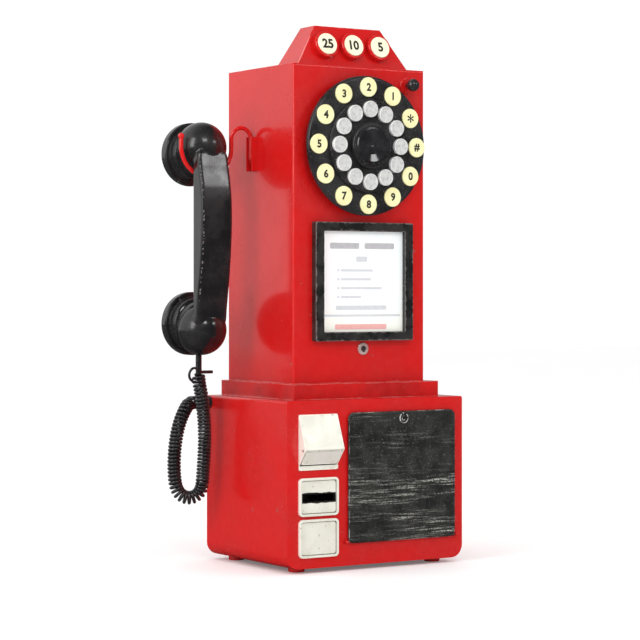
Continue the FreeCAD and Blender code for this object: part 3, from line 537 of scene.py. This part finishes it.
def cream_plastic(name, pale, warm):
    finish, tree, shader, position = new_finish(name, 0.38, coat=0.1)
    cloud = mottled(tree, position, 70.0)
    colour = over(tree, pale, warm, cloud)
    dirt = speckled(tree, position, 500.0, 0.72)
    colour_by(tree, shader, over(tree, colour, (0.42, 0.36, 0.20), maths(tree, "MULTIPLY", dirt, 0.5)))
    roughen(tree, shader, cloud, 0.30, 0.45)
    pitted(tree, shader, position, 500.0, 0.08, 0.0001)
    return finish


dress(key_finish(), *[f"dial_key_{number:02d}" for number in range(1, 13)])
dress(cream_plastic("cream_plastic", (0.93, 0.90, 0.52), (0.86, 0.80, 0.42)), "dial_number_discs")
dress(cream_plastic("button_cream", (0.97, 0.93, 0.70), (0.93, 0.87, 0.60)),
      "coin_button_25", "coin_button_10", "coin_button_5")

# %% [markdown]
# ## Figures
# The figures are printed. Each one starts as text, becomes a thin mesh, and is then
# carried to its place, because a finished piece keeps its place in its mesh. All twelve
# figures of the dial make one piece. Those on the coin buttons move with their buttons.

# %% Make figures
def print_ink(name, dark, pale):
    finish, tree, shader, position = new_finish(name, 0.45)
    worn = mottled(tree, position, 260.0)
    colour_by(tree, shader, over(tree, dark, pale, maths(tree, "MULTIPLY", worn, 0.35)))
    roughen(tree, shader, worn, 0.35, 0.6)
    return finish


ink = print_ink("black_ink", (0.012, 0.012, 0.013), (0.06, 0.055, 0.05))


def figure(body, size):
    """One printed figure as a mesh, centred at the origin and standing in the XZ plane."""
    text = bpy.data.curves.new("figure", "FONT")
    text.body, text.size, text.extrude = body, size, 0.00006
    text.offset = size * (0.010 if body == "*" else 0.038)
    text.resolution_u = 3
    thing = bpy.data.objects.new("figure", text)
    scene.collection.objects.link(thing)
    mesh = mesh_of(thing)
    xs, ys = [v.co.x for v in mesh.vertices], [v.co.y for v in mesh.vertices]
    mesh.transform(Matrix.Translation((-(min(xs) + max(xs)) / 2, -(min(ys) + max(ys)) / 2, 0)))
    mesh.transform(Matrix.Rotation(math.radians(90), 4, "X"))
    return mesh


def piece_of(name, meshes, finish, body):
    """Joins meshes into one piece that rides on a body."""
    shape = bmesh.new()
    for mesh in meshes:
        shape.from_mesh(mesh)
    joined = bpy.data.meshes.new(name)
    shape.to_mesh(joined)
    shape.free()
    piece = bpy.data.objects.new(name, joined)
    scene.collection.objects.link(piece)
    joined.materials.clear()
    joined.materials.append(finish)
    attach(piece, body)
    return piece


clear_of_print = 0.00003        # a figure's middle stands this far before its face
figure_size, star_size, button_size = 0.0096, 0.0170, 0.0120     # a star is a small letter
low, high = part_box("dial_number_discs")
dial_centre = Vector(((low.x + high.x) / 2, low.y - clear_of_print, (low.z + high.z) / 2))
disc_pitch = 0.054
marks = []
for index, mark in enumerate("21*#09876543"):
    around = math.radians(30 * index)
    mesh = figure(mark, star_size if mark == "*" else figure_size)
    mesh.transform(Matrix.Translation(
        dial_centre + disc_pitch * Vector((math.sin(around), 0, math.cos(around)))))
    marks.append(mesh)
dial_figures = piece_of("dial_figures", marks, ink, "cabinet")

lean = math.atan2(0.25449, 0.96707)
button_face_y, button_face_z = -0.03077, 0.48278     # the middle of a button's leaning face
for value in ("25", "10", "5"):
    low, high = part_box("coin_button_" + value)
    mesh = figure(value, button_size)
    mesh.transform(Matrix.Rotation(-lean, 4, "X"))
    mesh.transform(Matrix.Translation(((low.x + high.x) / 2, button_face_y, button_face_z)))
    piece_of("button_figure_" + value, [mesh], ink, "button_" + value)
print("figures:", len(dial_figures.data.polygons), "faces on the dial")

# %% [markdown]
# ## The handset
# The handset is one black moulding: a bowed handle between two cups with stepped caps.
# The cups are turned shapes, so each is spun from its profile. The handle starts as a
# box, gets more cuts along its length, is bent by moving those cuts, and then has its
# long edges beveled. One skin is then drawn over the handle and the two domes, and its
# corners are softened, because the real handle runs into its domes without a seam.

# %% Spin the cups
ear_centre, mouth_centre = framed("earpiece_cap")[0], framed("mouthpiece_cap")[0]
handset_x, ear_z, mouth_z = ear_centre.x, ear_centre.z, mouth_centre.z
dome_radius, dome_depth, dome_shift = 0.0235, 0.0390, 0.0056
dome_cut = 0.012                # the ball ends in a flat this far behind its middle
# behind each dome: a neck, two steps and the seat of the cap, as (radius, depth) in mm
cup_profile = [(0, 36), (19.5, 38), (20.6, 41.5), (20.9, 45.4), (23.0, 46.2), (23.7, 47.2),
               (23.9, 51.0), (25.6, 52.2), (26.2, 54.5), (18.5, 54.5), (18.5, 44), (0, 44)]


def spun(profile, place):
    """A shape turned round the Y axis from (radius, depth) points in millimetres."""
    shape = bmesh.new()
    corners = [shape.verts.new((radius / 1000, depth / 1000, 0)) for radius, depth in profile]
    edges = [shape.edges.new(pair) for pair in zip(corners, corners[1:])]
    bmesh.ops.spin(shape, geom=corners + edges, cent=(0, 0, 0), axis=(0, 1, 0),
                   angle=2 * math.pi, steps=72, use_merge=True)
    bmesh.ops.remove_doubles(shape, verts=shape.verts, dist=0.00001)
    bmesh.ops.recalc_face_normals(shape, faces=shape.faces)
    bmesh.ops.translate(shape, verts=shape.verts, vec=place)
    mesh = bpy.data.meshes.new("spun")
    shape.to_mesh(mesh)
    shape.free()
    return mesh


# %% Round the domes
def dome(z, shift):
    """The dome over a cup: a ball whose middle stands a little past the cup's own middle."""
    shape = bmesh.new()
    bmesh.ops.create_uvsphere(shape, u_segments=64, v_segments=40, radius=dome_radius)
    bmesh.ops.bisect_plane(shape, geom=shape.verts[:] + shape.edges[:] + shape.faces[:],
                           plane_co=(0, dome_cut, 0), plane_no=(0, 1, 0), clear_outer=True)
    rim = [edge for edge in shape.edges if edge.is_boundary]
    bmesh.ops.edgeloop_fill(shape, edges=rim)
    bmesh.ops.translate(shape, verts=shape.verts, vec=(handset_x, dome_depth, z + shift))
    mesh = bpy.data.meshes.new("dome")
    shape.to_mesh(mesh)
    shape.free()
    return mesh


# %% Bend the handle
# how far forward the handle's front stands at each height, both in millimetres
handle_front = [(214, 26), (221, 20.5), (228, 18.8), (236, 18.0), (248, 15.9), (264, 13.2),
                (283, 10.8), (300, 9.2), (318, 8.4), (336, 8.8), (350, 10.6), (362, 13.0),
                (374, 15.6), (383, 17.2), (388, 19.0), (392, 22)]
handle_back_y = 0.0270
handle_low, handle_high, handle_width = 0.2150, 0.3880, 0.032
handle_cuts, handle_bevel = 47, 0.0030
rounded_end, end_width = 0.014, 0.62         # how far up an end narrows, and how narrow it gets
thinnest = 0.004                             # from the front to the back, at least


def front_at(z):
    """The handle's front at a height, run smoothly between the values above."""
    heights = [h / 1000 for h, _ in handle_front]
    depths = [d / 1000 for _, d in handle_front]
    spot = max(i for i, h in enumerate(heights[:-1]) if z >= h or i == 0)
    t = min(max((z - heights[spot]) / (heights[spot + 1] - heights[spot]), 0), 1)
    before = depths[max(spot - 1, 0)]
    after = depths[min(spot + 2, len(depths) - 1)]
    a, b = depths[spot], depths[spot + 1]
    return 0.5 * (2 * a + (b - before) * t + (2 * before - 5 * a + 4 * b - after) * t * t
                  + (3 * a - before - 3 * b + after) * t ** 3)


def bent_handle():
    """The bowed handle, from a box that is cut, bent and beveled."""
    middle_y = 0.020                         # tells the box's front corners from its back ones
    shape = bmesh.new()
    bmesh.ops.create_cube(shape, size=1.0)
    bmesh.ops.scale(shape, vec=(handle_width, 0.012, handle_high - handle_low), verts=shape.verts)
    uprights = [e for e in shape.edges if abs(e.verts[0].co.z - e.verts[1].co.z) > 0.1]
    bmesh.ops.subdivide_edges(shape, edges=uprights, cuts=handle_cuts, use_grid_fill=True)
    bmesh.ops.translate(shape, verts=shape.verts,
                        vec=(handset_x, middle_y, (handle_high + handle_low) / 2))
    for vertex in shape.verts:
        from_end = min(handle_high - vertex.co.z, vertex.co.z - handle_low)
        round_off = math.sqrt(max(0.0, 1 - max(0.0, 1 - from_end / rounded_end) ** 2))
        narrowed = end_width + (1 - end_width) * round_off
        vertex.co.x = handset_x + (vertex.co.x - handset_x) * narrowed
        front = front_at(vertex.co.z)
        vertex.co.y = front if vertex.co.y < middle_y else max(handle_back_y, front + thinnest)
    long_edges = [e for e in shape.edges
                  if abs(e.verts[0].co.z - e.verts[1].co.z) > 0.0008
                  and len(e.link_faces) == 2
                  and e.link_faces[0].normal.angle(e.link_faces[1].normal, 0) > 0.8]
    bmesh.ops.bevel(shape, geom=long_edges, offset=handle_bevel, offset_type="OFFSET", segments=4,
                    profile=0.5, affect="EDGES", material=-1, clamp_overlap=True)
    bmesh.ops.recalc_face_normals(shape, faces=shape.faces)
    mesh = bpy.data.meshes.new("handle")
    shape.to_mesh(mesh)
    shape.free()
    return mesh


# %% Blend the handle into the domes, as one moulding
def moulded(meshes):
    """One closed skin over all the meshes, with the corners between them softened."""
    shape = bmesh.new()
    for mesh in meshes:
        shape.from_mesh(mesh)
    joined = bpy.data.meshes.new("moulded")
    shape.to_mesh(joined)
    shape.free()
    thing = bpy.data.objects.new("moulded", joined)
    scene.collection.objects.link(thing)
    skin = thing.modifiers.new("skin", "REMESH")
    skin.mode, skin.voxel_size = "VOXEL", 0.0009
    soften = thing.modifiers.new("soften", "SMOOTH")
    soften.factor, soften.iterations = 0.5, 6
    return mesh_of(thing)


# %% Finish the handset, with a rubbed line along the handle's left front edge
handset_black, tree, shader, position = new_finish("handset_black", 0.24, coat=0.45)
cloud = mottled(tree, position, 38.0)
colour = over(tree, (0.008, 0.008, 0.009), (0.020, 0.019, 0.020), cloud)
rubbed_line = handset_x - 0.0144             # just inside the handle's left side
left_edge = maths(tree, "ABSOLUTE", maths(
    tree, "SUBTRACT", tree_axis(tree, position, 0), rubbed_line))
from_middle = maths(tree, "ABSOLUTE", maths(
    tree, "SUBTRACT", tree_axis(tree, position, 2), (ear_z + mouth_z) / 2))
rubbed = maths(tree, "MULTIPLY", remap(tree, left_edge, 0.0003, 0.0010, 0.7, 0.0),
               remap(tree, from_middle, 0.050, 0.062, 1.0, 0.0))
grains = speckled(tree, position, 420.0, 0.54)
colour = over(tree, colour, (0.24, 0.22, 0.21), maths(tree, "MULTIPLY", rubbed, grains))
dust = speckled(tree, position, 800.0, 0.80)
colour_by(tree, shader, over(tree, colour, (0.12, 0.11, 0.11), dust))
roughen(tree, shader, cloud, 0.18, 0.34)
pitted(tree, shader, position, 300.0, 0.06)

# %% Put the handset together
handset_shell = piece_of(
    "handset_shell", [moulded([bent_handle(), dome(ear_z, dome_shift), dome(mouth_z, -dome_shift)]),
                      spun(cup_profile, (handset_x, 0, ear_z)),
                      spun(cup_profile, (handset_x, 0, mouth_z))],
    handset_black, "handset")
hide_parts("handset_handle")
for face in handset_shell.data.polygons:
    face.use_smooth = True
handset_shell.data.set_sharp_from_angle(angle=math.radians(38))
dress(handset_black, "earpiece_cap", "mouthpiece_cap", "cord_stud")
print("handset shell:", len(handset_shell.data.polygons), "faces")

# %% [markdown]
# The cord's wire leaves the stud in one open turn before the close turns begin. It is a
# short spline with a round section, and it lifts with the handset.

# %% Bend the first turn of the wire
def wire_loop():
    """The end of the cord's wire, which leaves the stud and turns down into the coil."""
    points = [(-0.0955, 0.0440, 0.1800), (-0.0985, 0.0434, 0.1830), (-0.1035, 0.0430, 0.1822),
              (-0.1064, 0.0430, 0.1775), (-0.1054, 0.0432, 0.1725), (-0.1010, 0.0436, 0.1695),
              (-0.0970, 0.0440, 0.1690)]
    return mesh_of(spline_object("stud_loop", points, 0.0024, fineness=6, sides=3))


stud_loop = piece_of("stud_loop", [wire_loop()], gloss_black, "handset")
for face in stud_loop.data.polygons:
    face.use_smooth = True

cord_cover = black_finish("cord_black", 0.17, 0.4, 0.82)
cord.data.materials.clear()
cord.data.materials.append(cord_cover)
dress(cord_cover, "cord_gland")

# %% [markdown]
# ## The printed card
# A card stands in the black frame under the dial. It is white with faint bands of pink,
# blue and yellow, and its print is kept to plain bars and dots, so that it reads as an
# instruction card and says nothing.

# %% Tint the card
card, tree, shader, position = new_finish("card_paper", 0.5, coat=0.25)
parts = tree.nodes.new("ShaderNodeSeparateXYZ")
join(tree, position, parts.inputs[0])
soft = mottled(tree, position, 28.0)
pink = maths(tree, "MULTIPLY", remap(tree, parts.outputs[0], -0.015, 0.018, 1.0, 0.0), 0.45)
blue = maths(tree, "MULTIPLY", remap(tree, parts.outputs[0], 0.012, 0.055), 0.45)
yellow = maths(tree, "MULTIPLY", remap(tree, parts.outputs[2], 0.218, 0.250, 1.0, 0.0), 0.55)
colour = over(tree, (0.97, 0.98, 0.98), (0.98, 0.86, 0.87), pink)
colour = over(tree, colour, (0.84, 0.95, 0.96), maths(tree, "MULTIPLY", blue, soft))
colour_by(tree, shader, over(tree, colour, (0.97, 0.95, 0.80), yellow))
roughen(tree, shader, soft, 0.4, 0.6)
dress(card, "instruction_card")


# %% Print the bars
print_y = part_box("instruction_card")[0].y - 0.00006


def bars(name, spans, finish):
    """Thin printed bars on the card: left, right, bottom and top of each in millimetres."""
    shape = bmesh.new()
    for left, right, bottom, top in spans:
        made = bmesh.ops.create_grid(shape, x_segments=1, y_segments=1, size=0.5)["verts"]
        bmesh.ops.scale(shape, vec=((right - left) / 1000, (top - bottom) / 1000, 1), verts=made)
        bmesh.ops.rotate(shape, cent=(0, 0, 0), verts=made,
                         matrix=Matrix.Rotation(math.radians(90), 3, "X"))
        bmesh.ops.translate(shape, verts=made, vec=(
            (left + right) / 2000, print_y, (bottom + top) / 2000))
        bmesh.ops.bevel(shape, geom=made, offset=min(right - left, top - bottom) / 4200,
                        offset_type="OFFSET", segments=3, profile=0.5, affect="VERTICES",
                        material=-1, clamp_overlap=True)
    mesh = bpy.data.meshes.new(name)
    shape.to_mesh(mesh)
    shape.free()
    return piece_of(name, [mesh], finish, "cabinet")


heading_ink = print_ink("heading_ink", (0.46, 0.45, 0.47), (0.62, 0.60, 0.62))
pale_ink = print_ink("pale_ink", (0.62, 0.63, 0.66), (0.76, 0.77, 0.80))
pale_red_ink = print_ink("pale_red_ink", (0.88, 0.42, 0.40), (0.92, 0.58, 0.55))
bars("card_heading", [(-6, 26, 293, 298.5), (32, 65, 293, 298.5)], heading_ink)
pale_spans = [(22.6, 34.8, 281, 286)]
first_row, row_pitch = 272, 8.2
for row, right in enumerate((41, 39, 51, 28)):
    z = first_row - row_pitch * row
    pale_spans += [(2.0, 4.2, z, z + 2.2), (6.0, right, z, z + 2.2)]
pale_spans += [(0.4, 56.4, 236.6, 240.6), (-12.5, 71.5, 230.4, 232.4)]
card_print = bars("card_lines", pale_spans, pale_ink)
bars("card_footer", [(-0.7, 56.4, 218.6, 223.4)], pale_red_ink)
print("card print:", len(card_print.data.polygons), "bars")

# %% [markdown]
# ## Frame, locks and screws
# The card's frame is black paint over brass-coloured metal, rubbed on its outer and inner
# edges. The locks are small rings round a darker core.

# %% Finish the card's frame
frame_black, tree, shader, position = new_finish("frame_black", 0.3, coat=0.2)
centre, half = framed("card_frame")
opening_centre, opening_half = framed("instruction_card")
cloud = mottled(tree, position, 60.0)
colour = over(tree, (0.010, 0.010, 0.010), (0.03, 0.028, 0.027), cloud)
outer = maths(tree, "ABSOLUTE", use(tree, rectangle, "Distance", Position=position, Centre=centre,
                                    Half_size=half, Corner=0.003))
inner = maths(tree, "ABSOLUTE", use(tree, rectangle, "Distance", Position=position,
                                    Centre=opening_centre, Half_size=opening_half, Corner=0.001))
ragged = remap(tree, noise(tree, position, 240.0, 4.0, 0.7), 0.40, 0.66, 0.0, 0.0012)
edge = remap(tree, maths(tree, "SUBTRACT", maths(tree, "MINIMUM", outer, inner), ragged),
             0.0, 0.0004, 1.0, 0.0)
front_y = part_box("card_frame")[0].y
edge = maths(tree, "MULTIPLY", edge, remap(tree, tree_axis(tree, position, 1), front_y + 0.0003,
                                           front_y + 0.0010, 1.0, 0.0))
colour_by(tree, shader, over(tree, colour, (0.20, 0.17, 0.16), maths(tree, "MULTIPLY", edge, 0.7)))
roughen(tree, shader, cloud, 0.24, 0.42)
pitted(tree, shader, position, 400.0, 0.1, 0.0001)
dress(frame_black, "card_frame")


# %% Finish the metals
def metal(name, pale, dark, roughness, metallic=1.0):
    finish, tree, shader, position = new_finish(name, roughness, metallic)
    cloud = mottled(tree, position, 160.0)
    spots = speckled(tree, position, 400.0, 0.68)
    colour_by(tree, shader, over(tree, over(tree, pale, dark, cloud), dark, spots))
    roughen(tree, shader, cloud, roughness * 0.75, roughness * 1.4)
    pitted(tree, shader, position, 640.0, 0.1, 0.0001)
    return finish


steel = metal("sheet_steel", (0.60, 0.60, 0.60), (0.42, 0.42, 0.43), 0.32)
dress(steel, "cover_screws", "hinge_pins", "coin_return_cup", "coin_box", "coin_chute")
dress(metal("bell_brass", (0.80, 0.58, 0.24), (0.60, 0.40, 0.14), 0.25), "ringer")
dress(metal("capsule_metal", (0.66, 0.66, 0.65), (0.50, 0.50, 0.50), 0.3), "handset_capsules")
ring_metal = metal("lock_ring", (0.85, 0.66, 0.62), (0.60, 0.42, 0.39), 0.30, metallic=0.5)
core_metal = metal("lock_core", (0.16, 0.12, 0.12), (0.05, 0.04, 0.04), 0.4, metallic=0.6)
dress(ring_metal, "lock_escutcheon")
dress(core_metal, "lock_core")

board, tree, shader, position = new_finish("circuit_board", 0.4, coat=0.3)
weave = noise(tree, position, 900.0, 1.0, 0.5)
tracks = speckled(tree, vectors(tree, "MULTIPLY", position, (1.0, 1.0, 0.15)), 260.0, 0.56)
colour_by(tree, shader, over(tree, (0.02, 0.14, 0.05), (0.05, 0.26, 0.10), tracks))
roughen(tree, shader, weave, 0.3, 0.5)
dress(board, "main_board", "keypad_board", "coin_switch_board")

# %% [markdown]
# ## Coin column in aged enamel
# The coin return hood and the two frames under it are off-white enamel. Grime has
# settled in their corners and seams. Dark seams are drawn where the distance from a
# frame's opening is near zero, and the coin slot is a ragged black band.


# %% Mix the enamel
def enamel(name, node, grime, inner=None, slot=None, pale=(0.79, 0.79, 0.70)):
    """Off-white enamel for a node, with a seam round inner and a black band over slot."""
    finish, tree, shader, position = new_finish(name, 0.3, coat=0.25)
    centre, half = framed(node)
    cloud = mottled(tree, position, 42.0)
    colour = over(tree, pale, (0.64, 0.62, 0.50), maths(tree, "MULTIPLY", cloud, 0.5))
    near_edge = use(tree, rectangle, "Distance", Position=position, Centre=centre,
                    Half_size=half, Corner=0.004)
    dirt = noise(tree, position, 85.0, 5.0, 0.7)
    corner_dirt = remap(tree, maths(tree, "ADD", near_edge, maths(tree, "MULTIPLY", dirt, 0.010)),
                        0.0035, 0.0085)
    colour = over(tree, colour, (0.30, 0.20, 0.10), maths(tree, "MULTIPLY", corner_dirt, grime))
    lip = remap(tree, maths(tree, "ABSOLUTE", near_edge), 0.0004, 0.0011, 1.0, 0.0)
    colour = over(tree, colour, (0.93, 0.86, 0.78), maths(tree, "MULTIPLY", lip, 0.8))
    if inner is not None:
        seam = use(tree, rectangle, "Distance", Position=position, Centre=inner[0],
                   Half_size=inner[1], Corner=0.003)
        seam = remap(tree, maths(tree, "ABSOLUTE", seam), 0.0003, 0.0009, 1.0, 0.0)
        colour = over(tree, colour, (0.05, 0.03, 0.025), maths(tree, "MULTIPLY", seam, 0.85))
    if slot is not None:
        band = use(tree, rectangle, "Distance", Position=position, Centre=slot[0],
                   Half_size=slot[1], Corner=0.0008)
        band = maths(tree, "SUBTRACT", band, maths(tree, "MULTIPLY", dirt, 0.004))
        colour = over(tree, colour, soot, remap(tree, band, -0.0016, -0.0010, 1.0, 0.0))
    specks = speckled(tree, position, 300.0, 0.70)
    colour_by(tree, shader, over(tree, colour, (0.22, 0.14, 0.08), maths(
        tree, "MULTIPLY", specks, 0.6)))
    roughen(tree, shader, cloud, 0.22, 0.42)
    pitted(tree, shader, position, 350.0, 0.08, 0.0001)
    return finish


dress(enamel("hood_enamel", "coin_return_hood", 0.8), "coin_return_hood")
dress(enamel("flap_enamel", "coin_return_flap", 0.5, pale=(0.74, 0.70, 0.66)), "coin_return_flap")
dress(enamel("slot_enamel", "slot_plate", 0.35, inner=framed("slot_plate"),
             slot=(Vector((-0.03725, 0, 0.068)), Vector((0.0198, 1, 0.0040)))), "slot_plate")
dress(enamel("blank_enamel", "blank_plate", 0.35, inner=framed("blank_plate")), "blank_plate")
dress(enamel("frames_enamel", "column_frames", 0.5), "column_frames")

# %% [markdown]
# ## The vault door
# The door is charcoal paint with pale dry-brushed streaks. The streaks are noise that is
# stretched sideways, in bands that come and go, and the door's edges are rubbed bright.

# %% Streak the vault door
charcoal, tree, shader, position = new_finish("vault_charcoal", 0.36, coat=0.15)
low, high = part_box("vault_door")
streaks = noise(tree, position, 1.0, 4.0, 0.65, stretch=(26.0, 26.0, 620.0))
bands = noise(tree, position, 1.0, 2.0, 0.5, stretch=(8.0, 8.0, 75.0))
grit = noise(tree, position, 1.0, 3.0, 0.7, stretch=(650.0, 650.0, 1500.0))
streaks = maths(tree, "MULTIPLY", remap(tree, streaks, 0.47, 0.66), remap(tree, bands, 0.40, 0.66))
streaks = maths(tree, "MULTIPLY", streaks, remap(tree, grit, 0.40, 0.62))
cloud = mottled(tree, position, 60.0)
colour = over(tree, (0.012, 0.013, 0.012), (0.034, 0.035, 0.031), cloud)
colour = over(tree, colour, (0.62, 0.62, 0.56), streaks)
specks = speckled(tree, position, 1100.0, 0.67)
colour = over(tree, colour, (0.24, 0.24, 0.22), maths(tree, "MULTIPLY", specks, 0.8))
worn = use(tree, edge_wear_and_highlight, "Mask", Position=position, Low=low, High=high, Width=0.0009,
           Breakup=0.8, Scale=120.0)
colour_by(tree, shader, over(tree, colour, (0.60, 0.58, 0.56), maths(tree, "MULTIPLY", worn, 0.8)))
roughen(tree, shader, streaks, 0.30, 0.50)
raise_by(tree, shader, streaks, 0.15, 0.0001)
dress(charcoal, "vault_door")


# %% Rub the rims of the vault's lock
def rubbed_lock(name, ring_radius, thickness):
    """Charcoal with one thin pale ring, round the lock's middle."""
    finish, tree, shader, position = new_finish(name, 0.38, coat=0.1)
    centre, _ = framed("vault_lock_ring")
    cloud = mottled(tree, position, 300.0)
    colour = over(tree, (0.014, 0.014, 0.014), (0.05, 0.05, 0.048), cloud)
    ring = use(tree, rectangle, "Distance", Position=position, Centre=centre,
               Half_size=(ring_radius, 1, ring_radius), Corner=ring_radius)
    ring = remap(tree, maths(tree, "ABSOLUTE", ring), thickness * 0.5, thickness, 1.0, 0.0)
    gaps = remap(tree, noise(tree, position, 300.0, 2.0, 0.6), 0.40, 0.52)
    colour_by(tree, shader, over(tree, colour, (0.60, 0.59, 0.57), maths(
        tree, "MULTIPLY", ring, gaps)))
    roughen(tree, shader, cloud, 0.3, 0.46)
    return finish


dress(rubbed_lock("vault_lock_rim", 0.0045, 0.0005), "vault_lock_ring")
dress(rubbed_lock("vault_lock_middle", 0.0019, 0.0004), "vault_lock_core")

# %% [markdown]
# ## Floor and light
# A pale floor and a bright, even surround light it softly. What glossy paint mirrors is
# set apart from that: the surround looks bright behind and to the left, so that the side
# picks up a pale sheen, and dark in front, so that the front keeps a full red. Three
# small soft panels give the highlights.

# %% Lay the floor
floor_mesh = bpy.data.meshes.new("floor")
shape = bmesh.new()
bmesh.ops.create_grid(shape, x_segments=2, y_segments=2, size=6.0)
shape.to_mesh(floor_mesh)
shape.free()
floor = bpy.data.objects.new("floor", floor_mesh)
scene.collection.objects.link(floor)
floor_finish, tree, shader, position = new_finish("pale_floor", 0.7)
floor_rays = tree.nodes.new("ShaderNodeLightPath").outputs
pale = over(tree, (0.93, 0.93, 0.93), (0.95, 0.95, 0.95),
            mottled(tree, position, 3.0))
# glossy paint would mirror the floor as a grey band, so it shows dark to mirrored rays
colour_by(tree, shader, over(tree, pale, (0.05, 0.05, 0.05), floor_rays["Is Glossy Ray"]))
shader.inputs["Emission Color"].default_value = (1.0, 1.0, 1.0, 1.0)
join(tree, maths(tree, "MULTIPLY", floor_rays["Is Camera Ray"], 0.13),
     shader.inputs["Emission Strength"])
floor_mesh.materials.append(floor_finish)

# %% Light the scene
world = bpy.data.worlds.new("soft surround")
scene.world = world
world.use_nodes = True
tree = world.node_tree
surround = tree.nodes["Background"]
direction = tree.nodes.new("ShaderNodeTexCoord").outputs["Generated"]
ahead = vectors(tree, "DOT_PRODUCT", direction, (0.60, -0.80, 0.0))
dimmed = remap(tree, ahead, 0.2, 0.95, 1.05, 0.75)          # the light that falls on things
mirrored = remap(tree, ahead, -0.75, 0.15, 0.80, 0.06)      # what glossy paint reflects
rays = tree.nodes.new("ShaderNodeLightPath").outputs
level = maths(tree, "ADD", maths(tree, "MULTIPLY", dimmed, maths(
    tree, "SUBTRACT", 1.0, rays["Is Glossy Ray"])), maths(
        tree, "MULTIPLY", mirrored, rays["Is Glossy Ray"]))
level = maths(tree, "MAXIMUM", level, rays["Is Camera Ray"])
join(tree, level, surround.inputs["Strength"])
surround.inputs["Color"].default_value = (1.0, 1.0, 1.0, 1.0)


def soft_panel(name, place, aim, size, power):
    light = bpy.data.lights.new(name, "AREA")
    light.shape, light.size, light.size_y, light.energy = "RECTANGLE", size[0], size[1], power
    thing = bpy.data.objects.new(name, light)
    thing.location = place
    thing.rotation_euler = (Vector(aim) - Vector(place)).to_track_quat("-Z", "Y").to_euler()
    scene.collection.objects.link(thing)


soft_panel("left_panel", (-1.7, -0.5, 1.0), (0, 0, 0.25), (0.5, 1.2), 9)
soft_panel("front_panel", (-0.5, -1.9, 1.6), (0, 0, 0.25), (0.7, 0.5), 9)
# this one shows only as the pale sheen on the top of the handle and on the leaning crown
soft_panel("sheen_panel", (1.10, -1.62, 1.18), (0, 0, 0.40), (0.40, 0.26), 2.6)
